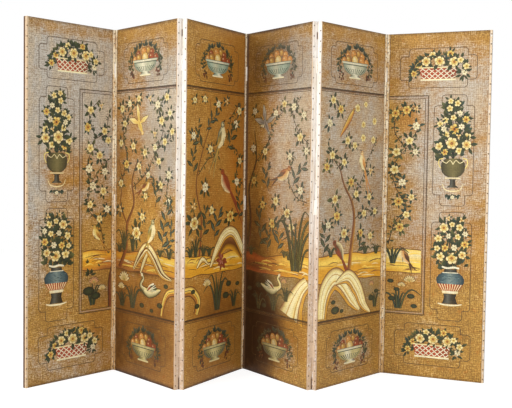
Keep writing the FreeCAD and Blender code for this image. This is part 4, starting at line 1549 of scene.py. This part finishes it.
def paintPanel2(p):
    ridgeBank(
        p, 0.648, 0.764, coat["left"], coat["right"], ("bank", "orange", "barkLight"),
        ("bankLight", "bank", "orange"),
    )
    trunk = ((0.060, 0.660), (0.130, 0.790), (0.140, 0.930), (0.210, 1.060), (0.190, 1.200), (0.250, 1.330))
    tree(p, trunk, 0.034)
    tree(p, ((0.140, 0.930), (0.070, 1.050), (0.080, 1.200), (0.045, 1.330)), 0.014)
    twig(p, ((0.080, 1.200), (0.130, 1.340), (0.090, 1.480), (0.150, 1.600), (0.260, 1.690)))
    twig(p, ((0.200, 1.160), (0.340, 1.250), (0.440, 1.380), (0.560, 1.440)))
    twig(p, ((0.440, 1.380), (0.500, 1.500), (0.460, 1.620), (0.530, 1.700)))
    twig(p, ((0.610, 1.020), (0.540, 1.110), (0.560, 1.230)))
    scatter(
        p, (0.080, 1.640, 0.050, "star"), (0.160, 1.668, 0.046, "daisy"), (0.255, 1.694, 0.044, "star"),
        (0.110, 1.548, 0.048, "star"), (0.370, 1.690, 0.042, "bud"), (0.446, 1.650, 0.054, "pale"),
        (0.536, 1.690, 0.046, "star"), (0.566, 1.596, 0.050, "daisy"), (0.486, 1.556, 0.056, "star"),
        (0.420, 1.480, 0.042, "bud"), (0.588, 1.490, 0.046, "star"), (0.070, 1.430, 0.048, "star"),
        (0.200, 1.410, 0.050, "star"), (0.322, 1.372, 0.050, "star"), (0.424, 1.400, 0.050, "daisy"),
        (0.520, 1.432, 0.050, "star"), (0.460, 1.318, 0.048, "star"), (0.130, 1.300, 0.052, "gold"),
        (0.262, 1.288, 0.048, "star"), (0.356, 1.236, 0.046, "daisy"), (0.560, 1.240, 0.054, "pale"),
        (0.070, 1.180, 0.050, "rose"), (0.480, 1.180, 0.048, "star"), (0.330, 1.110, 0.044, "star"),
        (0.560, 1.080, 0.050, "pale"), (0.060, 1.020, 0.044, "bud"), (0.300, 0.985, 0.050, "star"),
    )
    flyingBird(p, 0.262, 1.545, 0.150)
    bird(p, 0.330, 1.170, 0.105, "bark", "amber", "russet", 1, 0.55, 0.9)
    ridge = ((0.210, 0.660), (0.290, 0.760), (0.350, 0.800), (0.420, 0.750), (0.500, 0.660), (0.592, 0.630))
    stone(p, "rock", ridge, [0.012, 0.060, 0.066, 0.058, 0.010])
    p.stroke(ridge, [0.003, 0.013, 0.009, 0.014, 0.003], ["brown", "bark"])
    stone(p, "rock", ((0.284, 0.644), (0.326, 0.724), (0.352, 0.764)), [0.006, 0.030, 0.022])
    blossom(p, 0.240, 0.880, 0.086, "rose", 8)
    iris(p, 0.110, 0.770, 0.150, 6, 0.6)
    iris(p, 0.200, 0.770, 0.120, 5, 0.5)
    frond(p, ((0.500, 0.800), (0.520, 0.940), (0.570, 1.060)), 0.082)
    frond(p, ((0.540, 0.800), (0.585, 0.880), (0.590, 0.940)), 0.066)
    frond(p, ((0.430, 1.050), (0.440, 1.110), (0.420, 1.180)), 0.076, "leafMid")
    tufts(p, (0.060, 0.480, 0.570), 0.760)
    bird(p, 0.390, 0.890, 0.150, "leafOlive", "cream", "amber", 1, 1.1, 0.5)
    iris(p, 0.200, 0.420, 0.160, 7, 0.8)
    iris(p, 0.090, 0.420, 0.130, 6, 0.8)
    stone(
        p, "ledge", ((0.500, 0.412), (0.520, 0.490), (0.560, 0.548), (0.620, 0.566)),
        [0.018, 0.030, 0.040, 0.044],
    )
    waterLily(p, 0.110, 0.580, 0.110)
    waterLily(p, 0.080, 0.530, 0.070)
    swan(p, 0.380, 0.544, 0.168, -1)
    pads(
        p, (0.300, 0.450, 0.050), (0.480, 0.470, 0.056), (0.540, 0.590, 0.046), (0.400, 0.430, 0.040),
        (0.090, 0.450, 0.052),
    )
    squares(p, "apple", "apple")


def paintPanel3(p):
    ridgeBank(p, 0.650, 0.766, coat["left"], coat["right"])
    trunk = ((0.150, 0.760), (0.165, 0.980), (0.110, 1.180), (0.170, 1.380), (0.250, 1.560), (0.240, 1.690))
    tree(p, trunk, 0.016)
    twig(p, ((0.130, 1.240), (0.220, 1.330), (0.330, 1.360)))
    twig(p, ((0.560, 1.690), (0.470, 1.600), (0.420, 1.480), (0.300, 1.420)))
    twig(p, ((0.610, 1.180), (0.530, 1.240), (0.560, 1.350), (0.500, 1.420)))
    scatter(
        p, (0.090, 1.676, 0.040, "star"), (0.190, 1.690, 0.042, "star"), (0.330, 1.668, 0.048, "daisy"),
        (0.420, 1.690, 0.040, "bud"), (0.560, 1.640, 0.050, "star"), (0.520, 1.556, 0.052, "pale"),
        (0.080, 1.470, 0.048, "pale"), (0.250, 1.396, 0.050, "star"), (0.570, 1.330, 0.046, "star"),
        (0.540, 1.200, 0.052, "pale"), (0.200, 1.170, 0.062, "pale"), (0.270, 1.030, 0.052, "star"),
        (0.090, 1.060, 0.046, "bud"),
    )
    bird(p, 0.360, 1.470, 0.170, "leafBlue", "cream", "amber", 1, 1.15, 1.2)
    bird(p, 0.420, 1.190, 0.170, "russet", "apple", "berry", -1, 0.85, 1.6)
    frond(p, ((0.420, 1.400), (0.470, 1.460), (0.480, 1.530)), 0.080, "leafMid")
    frond(p, ((0.180, 1.400), (0.120, 1.460), (0.130, 1.540)), 0.070, "leafMid")
    frond(p, ((0.200, 1.500), (0.260, 1.570), (0.310, 1.600)), 0.066, "leafBlue")
    frond(p, ((0.090, 1.240), (0.070, 1.320), (0.090, 1.380)), 0.072, "leafMid")
    frond(p, ((0.170, 0.870), (0.215, 0.950), (0.200, 1.030)), 0.084, "leafMid")
    frond(p, ((0.300, 0.850), (0.310, 0.930), (0.350, 1.000)), 0.084, "leafBlue")
    frond(p, ((0.560, 0.960), (0.580, 1.050), (0.550, 1.120)), 0.074, "leafMid")
    tufts(p, (0.060, 0.190, 0.250), 0.760)
    blossom(p, 0.096, 0.960, 0.084, "rose", 7)
    iris(p, 0.110, 0.760, 0.130, 6, 0.5)
    hollow = ((0.345, 0.745), (0.430, 0.818), (0.530, 0.800), (0.606, 0.720))
    p.stroke(hollow, [0.020, 0.066, 0.076, 0.030], ["barkLight", "brown", "bank"], step=0.012)
    stone(
        p, "rock", ((0.262, 0.690), (0.336, 0.800), (0.420, 0.880), (0.520, 0.876), (0.630, 0.740)),
        [0.014, 0.054, 0.068, 0.062, 0.052],
    )
    stone(p, "rock", ((0.124, 0.694), (0.180, 0.742), (0.236, 0.710)), [0.006, 0.032, 0.006])
    blossom(p, 0.470, 0.986, 0.076, "gold", 6)
    leaves(p, 0.380, 0.716, 8, 0.084, 0.0, tau, foot="russet", tip="berry", off=0.05)
    leaves(p, 0.376, 0.724, 5, 0.044, 0.0, tau, foot="berry", tip="rose", off=0.05)
    iris(p, 0.340, 0.420, 0.270, 7, 0.62)
    iris(p, 0.520, 0.420, 0.130, 6, 0.6)
    stone(
        p, "ledge", ((0.012, 0.566), (0.080, 0.560), (0.140, 0.500), (0.120, 0.424)),
        [0.050, 0.056, 0.050, 0.040],
    )
    waterLily(p, 0.230, 0.580, 0.080)
    pads(
        p, (0.460, 0.570, 0.060), (0.430, 0.500, 0.070), (0.560, 0.560, 0.046), (0.130, 0.470, 0.052),
        (0.090, 0.560, 0.044),
    )
    squares(p, "apple", "apple")


def paintPanel4(p):
    ridgeBank(p, 0.638, 0.760, coat["left"], coat["right"], ("bankRed", "russet", "bankRed"))
    trunk = ((0.030, 0.760), (0.060, 0.960), (0.040, 1.160), (0.110, 1.340), (0.090, 1.520))
    tree(p, trunk, 0.030, ("black", "umber", "russet"), ("black", "umber", "umber"))
    twig(p, ((0.100, 1.320), (0.210, 1.420), (0.280, 1.560), (0.390, 1.640)))
    twig(p, ((0.610, 1.430), (0.520, 1.500), (0.460, 1.610), (0.520, 1.690)))
    twig(p, ((0.600, 1.090), (0.500, 1.120), (0.430, 1.230), (0.480, 1.360)))
    scatter(
        p, (0.090, 1.640, 0.044, "pale"), (0.170, 1.560, 0.048, "pale"), (0.300, 1.620, 0.046, "pale"),
        (0.380, 1.672, 0.048, "star"), (0.470, 1.650, 0.050, "pale"), (0.560, 1.600, 0.044, "pale"),
        (0.530, 1.470, 0.054, "star"), (0.590, 1.390, 0.046, "pale"), (0.080, 1.410, 0.050, "pale"),
        (0.200, 1.390, 0.050, "star"), (0.440, 1.360, 0.046, "pale"), (0.090, 1.210, 0.050, "gold"),
        (0.540, 1.160, 0.052, "pale"), (0.310, 1.090, 0.056, "star"), (0.180, 1.060, 0.052, "gold"),
        (0.420, 1.020, 0.062, "rose"), (0.280, 0.950, 0.060, "gold"), (0.460, 0.940, 0.056, "star"),
    )
    flyingBird(p, 0.200, 1.560, 0.150, "slate", "lilac", "celadon")
    bird(p, 0.380, 1.250, 0.140, "russet", "peach", "leafBlue", 1, 0.4, 0.7)
    frond(p, ((0.470, 1.180), (0.500, 1.250), (0.560, 1.300)), 0.078)
    frond(p, ((0.240, 1.150), (0.200, 1.220), (0.230, 1.290)), 0.072)
    frond(p, ((0.150, 0.790), (0.170, 0.890), (0.140, 0.980)), 0.086, "leafMid")
    frond(p, ((0.330, 0.780), (0.350, 0.860), (0.320, 0.930)), 0.086)
    frond(p, ((0.240, 0.780), (0.230, 0.840), (0.250, 0.890)), 0.070, "leafMid")
    tufts(p, (0.070, 0.400, 0.440), 0.750)
    iris(p, 0.500, 0.680, 0.400, 7, 0.62)
    iris(p, 0.535, 0.690, 0.220, 4, 0.7)
    stone(
        p, "rock", ((0.470, 0.400), (0.500, 0.480), (0.556, 0.570), (0.616, 0.622)),
        [0.230, 0.160, 0.110, 0.080],
    )
    iris(p, 0.300, 0.420, 0.150, 6, 0.7)
    iris(p, 0.150, 0.410, 0.120, 6, 0.7)
    iris(p, 0.420, 0.490, 0.110, 6, 0.7)
    swan(p, 0.280, 0.552, 0.160, 1)
    waterLily(p, 0.400, 0.600, 0.052, "rose")
    pads(p, (0.150, 0.560, 0.060), (0.120, 0.490, 0.056), (0.210, 0.440, 0.050), (0.060, 0.530, 0.050))
    squares(p, "peach", "apple")


def paintPanel5(p):
    ridgeBank(p, 0.620, 0.772, coat["left"], coat["right"])
    trunk = ((0.290, 0.640), (0.310, 0.800), (0.335, 0.980), (0.310, 1.090), (0.230, 1.200), (0.180, 1.330))
    tree(p, trunk, 0.040, ("russet", "barkLight", "bank"), ("bark", "bark", "barkLight"))
    twig(p, ((0.200, 1.280), (0.110, 1.370), (0.080, 1.450)))
    twig(p, ((0.310, 1.100), (0.400, 1.220), (0.470, 1.360), (0.540, 1.470)))
    twig(p, ((0.340, 0.990), (0.450, 1.040), (0.540, 1.020)))
    scatter(
        p, (0.120, 1.690, 0.054, "star"), (0.190, 1.640, 0.054, "gold"), (0.090, 1.555, 0.052, "pale"),
        (0.350, 1.655, 0.052, "bare"), (0.430, 1.682, 0.040, "bare"), (0.410, 1.560, 0.048, "bare"),
        (0.520, 1.585, 0.050, "bare"), (0.260, 1.460, 0.054, "star"), (0.330, 1.430, 0.048, "star"),
        (0.410, 1.480, 0.050, "bare"), (0.510, 1.470, 0.048, "bare"), (0.120, 1.370, 0.056, "star"),
        (0.070, 1.300, 0.050, "gold"), (0.230, 1.330, 0.050, "star"), (0.300, 1.210, 0.056, "gold"),
        (0.350, 1.140, 0.052, "star"), (0.490, 1.280, 0.048, "bud"), (0.480, 1.120, 0.048, "star"),
        (0.150, 1.110, 0.060, "rose"), (0.170, 1.010, 0.060, "gold"), (0.430, 1.020, 0.050, "star"),
        (0.540, 1.030, 0.046, "star"), (0.240, 0.905, 0.060, "rose"), (0.400, 0.900, 0.052, "gold"),
        (0.500, 0.880, 0.050, "star"), (0.090, 0.960, 0.050, "pale"),
    )
    dive = ((0.318, 1.650), (0.262, 1.572), (0.186, 1.478))
    p.stroke(dive, [0.014, 0.040, 0.030, 0.006], ["brown"])
    p.stroke(dive, [0.008, 0.032, 0.022, 0.004], ["orange", "amber", "yellow"], ["russet", "orange", "amber"])
    p.lay(p.disc(0.314, 1.646, 0.022, "brown", "amber", 1.0, 8))
    bird(p, 0.410, 1.330, 0.120, "peach", "cream", "orange", -1, 1.2, 1.5)
    bird(p, 0.200, 0.800, 0.150, "russet", "bark", "russet", 1, 2.1, 1.3)
    frond(p, ((0.050, 0.780), (0.065, 0.860), (0.050, 0.930)), 0.076, "leafMid")
    frond(p, ((0.370, 0.780), (0.400, 0.830), (0.390, 0.870)), 0.064, "leafMid")
    tufts(p, (0.120, 0.450, 0.560), 0.770)
    arch = (
        (0.046, 0.412), (0.056, 0.510), (0.090, 0.590), (0.160, 0.640), (0.240, 0.600), (0.330, 0.500),
        (0.400, 0.430),
    )
    stone(p, "rock", arch, [0.074, 0.096, 0.120, 0.128, 0.116, 0.096, 0.020])
    stone(
        p, "rock", ((0.172, 0.610), (0.290, 0.640), (0.380, 0.560), (0.440, 0.460), (0.510, 0.404)),
        [0.010, 0.084, 0.096, 0.074, 0.012],
    )
    iris(p, 0.560, 0.430, 0.130, 5, 0.6)
    waterLily(p, 0.520, 0.570, 0.050, "rose")
    pads(
        p, (0.170, 0.450, 0.080), (0.150, 0.500, 0.044), (0.230, 0.440, 0.040), (0.520, 0.490, 0.056),
        (0.570, 0.530, 0.044),
    )
    squares(p, "peach", "apple")


def paintPanel6(p):
    stripFrame(p, 0.263, -1, coat["left"])
    ridgeBank(
        p, 0.648, 0.790, coat["left"], 0.238, ("cream", "bankLight", "bank"),
        ("cream", "bankLight", "bankLight"),
    )
    branch = (
        (0.030, 0.820), (0.070, 0.960), (0.140, 1.060), (0.070, 1.180), (0.050, 1.310), (0.130, 1.420),
        (0.200, 1.540),
    )
    twig(p, branch)
    twig(p, ((0.130, 1.420), (0.060, 1.520), (0.070, 1.620), (0.160, 1.650)))
    scatter(
        p, (0.060, 1.640, 0.054, "gold"), (0.130, 1.660, 0.056, "gold"), (0.190, 1.668, 0.034, "bud"),
        (0.190, 1.560, 0.050, "pale"), (0.150, 1.470, 0.054, "star"), (0.190, 1.400, 0.040, "pale"),
        (0.070, 1.400, 0.056, "star"), (0.060, 1.290, 0.058, "star"), (0.110, 1.210, 0.050, "pale"),
        (0.090, 1.090, 0.058, "gold"), (0.140, 1.010, 0.044, "star"), (0.100, 0.930, 0.058, "gold"),
        (0.170, 1.120, 0.040, "star"),
    )
    bird(p, 0.140, 0.745, 0.110, "bark", "peach", "umber", -1, 1.0, 0.7)
    iris(p, 0.060, 0.700, 0.130, 7, 0.7)
    waterLily(p, 0.170, 0.590, 0.074)
    waterLily(p, 0.120, 0.560, 0.050)
    iris(p, 0.100, 0.420, 0.150, 6, 0.8)
    pads(
        p, (0.050, 0.590, 0.044), (0.090, 0.540, 0.040), (0.180, 0.500, 0.052), (0.200, 0.440, 0.044),
        (0.060, 0.480, 0.050),
    )
    endPanel(p, 0.420, -1)


painters = (paintPanel1, paintPanel2, paintPanel3, paintPanel4, paintPanel5, paintPanel6)
for panel, paintPanel in zip(panelNumbers, painters):
    work = Paintwork(panel)
    paintPanel(work)
    layers = max(work.coats.values())
    painting = work.finish()
    print(painting.name, "faces", len(painting.data.polygons), "coats", layers)

# pale studio: white floor and surround, soft lamps from both sides
studio = {
    "floorSize": 14.0,
    "floor": (0.92, 0.92, 0.92, 1.0),
    "floorGlow": 1.32,
    "floorShadow": 0.35,  # how much of the shaded floor the camera sees
    "surround": 0.42,
    "white": (1.0, 1.0, 1.0, 1.0),
    "lamps": (
        {"name": "keyLeft", "at": (-5.0, -3.7, 2.8), "aim": (0.0, 0.0, 1.0), "size": 2.2, "power": 250.0},
        {"name": "fillRight", "at": (2.6, -5.8, 2.6), "aim": (0.0, 0.0, 1.0), "size": 2.6, "power": 186.0},
    ),
}


# camera, glossy and transmission rays see the white surround
def seenRays(wire):
    path = wire.make("ShaderNodeLightPath")
    ports = path.socket.node.outputs
    return path + Wire(wire.tree, ports["Is Glossy Ray"]) + Wire(wire.tree, ports["Is Transmission Ray"])


def studioFloor():
    bm = bmesh.new()
    bmesh.ops.create_grid(bm, x_segments=1, y_segments=1, size=studio["floorSize"] / 2)
    mesh = bpy.data.meshes.new("studioFloor")
    bm.to_mesh(mesh)
    bm.free()
    material, wire = newMaterial("studioFloor")
    shade = wire.make("ShaderNodeBsdfDiffuse", None, {"Color": studio["floor"]})
    glow = wire.make("ShaderNodeEmission", None, {"Color": studio["white"], "Strength": studio["floorGlow"]})
    seen = seenRays(wire)
    white = wire.make("ShaderNodeMixShader", None, {0: seen * (1 - studio["floorShadow"]), 1: shade, 2: glow})
    wire.make("ShaderNodeOutputMaterial", None, {"Surface": white})
    mesh.materials.append(material)
    floor = bpy.data.objects.new("studioFloor", mesh)
    bpy.context.collection.objects.link(floor)


def studioWorld():
    world = bpy.data.worlds.new("studio")
    world.use_nodes = True
    tree = world.node_tree
    tree.nodes.clear()
    wire = Wire(tree)
    lit = {"Color": studio["white"], "Strength": studio["surround"]}
    light = wire.make("ShaderNodeBackground", None, lit)
    white = wire.make("ShaderNodeBackground", None, {"Color": studio["white"], "Strength": 1.0})
    seen = seenRays(wire)
    mixed = wire.make("ShaderNodeMixShader", None, {0: seen, 1: light, 2: white})
    wire.make("ShaderNodeOutputWorld", None, {"Surface": mixed})
    bpy.context.scene.world = world


def studioLamps():
    for lamp in studio["lamps"]:
        data = bpy.data.lights.new(lamp["name"], "AREA")
        data.shape = "SQUARE"
        data.size = lamp["size"]
        data.energy = lamp["power"]
        light = bpy.data.objects.new(lamp["name"], data)
        light.location = lamp["at"]
        light.rotation_euler = (Vector(lamp["aim"]) - Vector(lamp["at"])).to_track_quat("-Z", "Y").to_euler()
        bpy.context.collection.objects.link(light)


# the photograph's viewpoint
view = {"at": (-0.0362, -5.0718, 1.3022), "down": 2.619, "roll": 0.806, "lens": 59.08, "sensor": 36.0}


def photoCamera():
    data = bpy.data.cameras.new("photoCamera")
    data.sensor_fit = "HORIZONTAL"
    data.sensor_width = view["sensor"]
    data.lens = view["lens"]
    camera = bpy.data.objects.new("photoCamera", data)
    tilt = Matrix.Rotation(math.radians(90 - view["down"]), 4, "X")
    roll = Matrix.Rotation(math.radians(view["roll"]), 4, "Z")
    camera.matrix_world = Matrix.Translation(view["at"]) @ tilt @ roll
    bpy.context.collection.objects.link(camera)
    bpy.context.scene.camera = camera


studioFloor()
studioWorld()
studioLamps()
photoCamera()
bpy.context.scene.view_settings.view_transform = "Standard"
print("studio set")
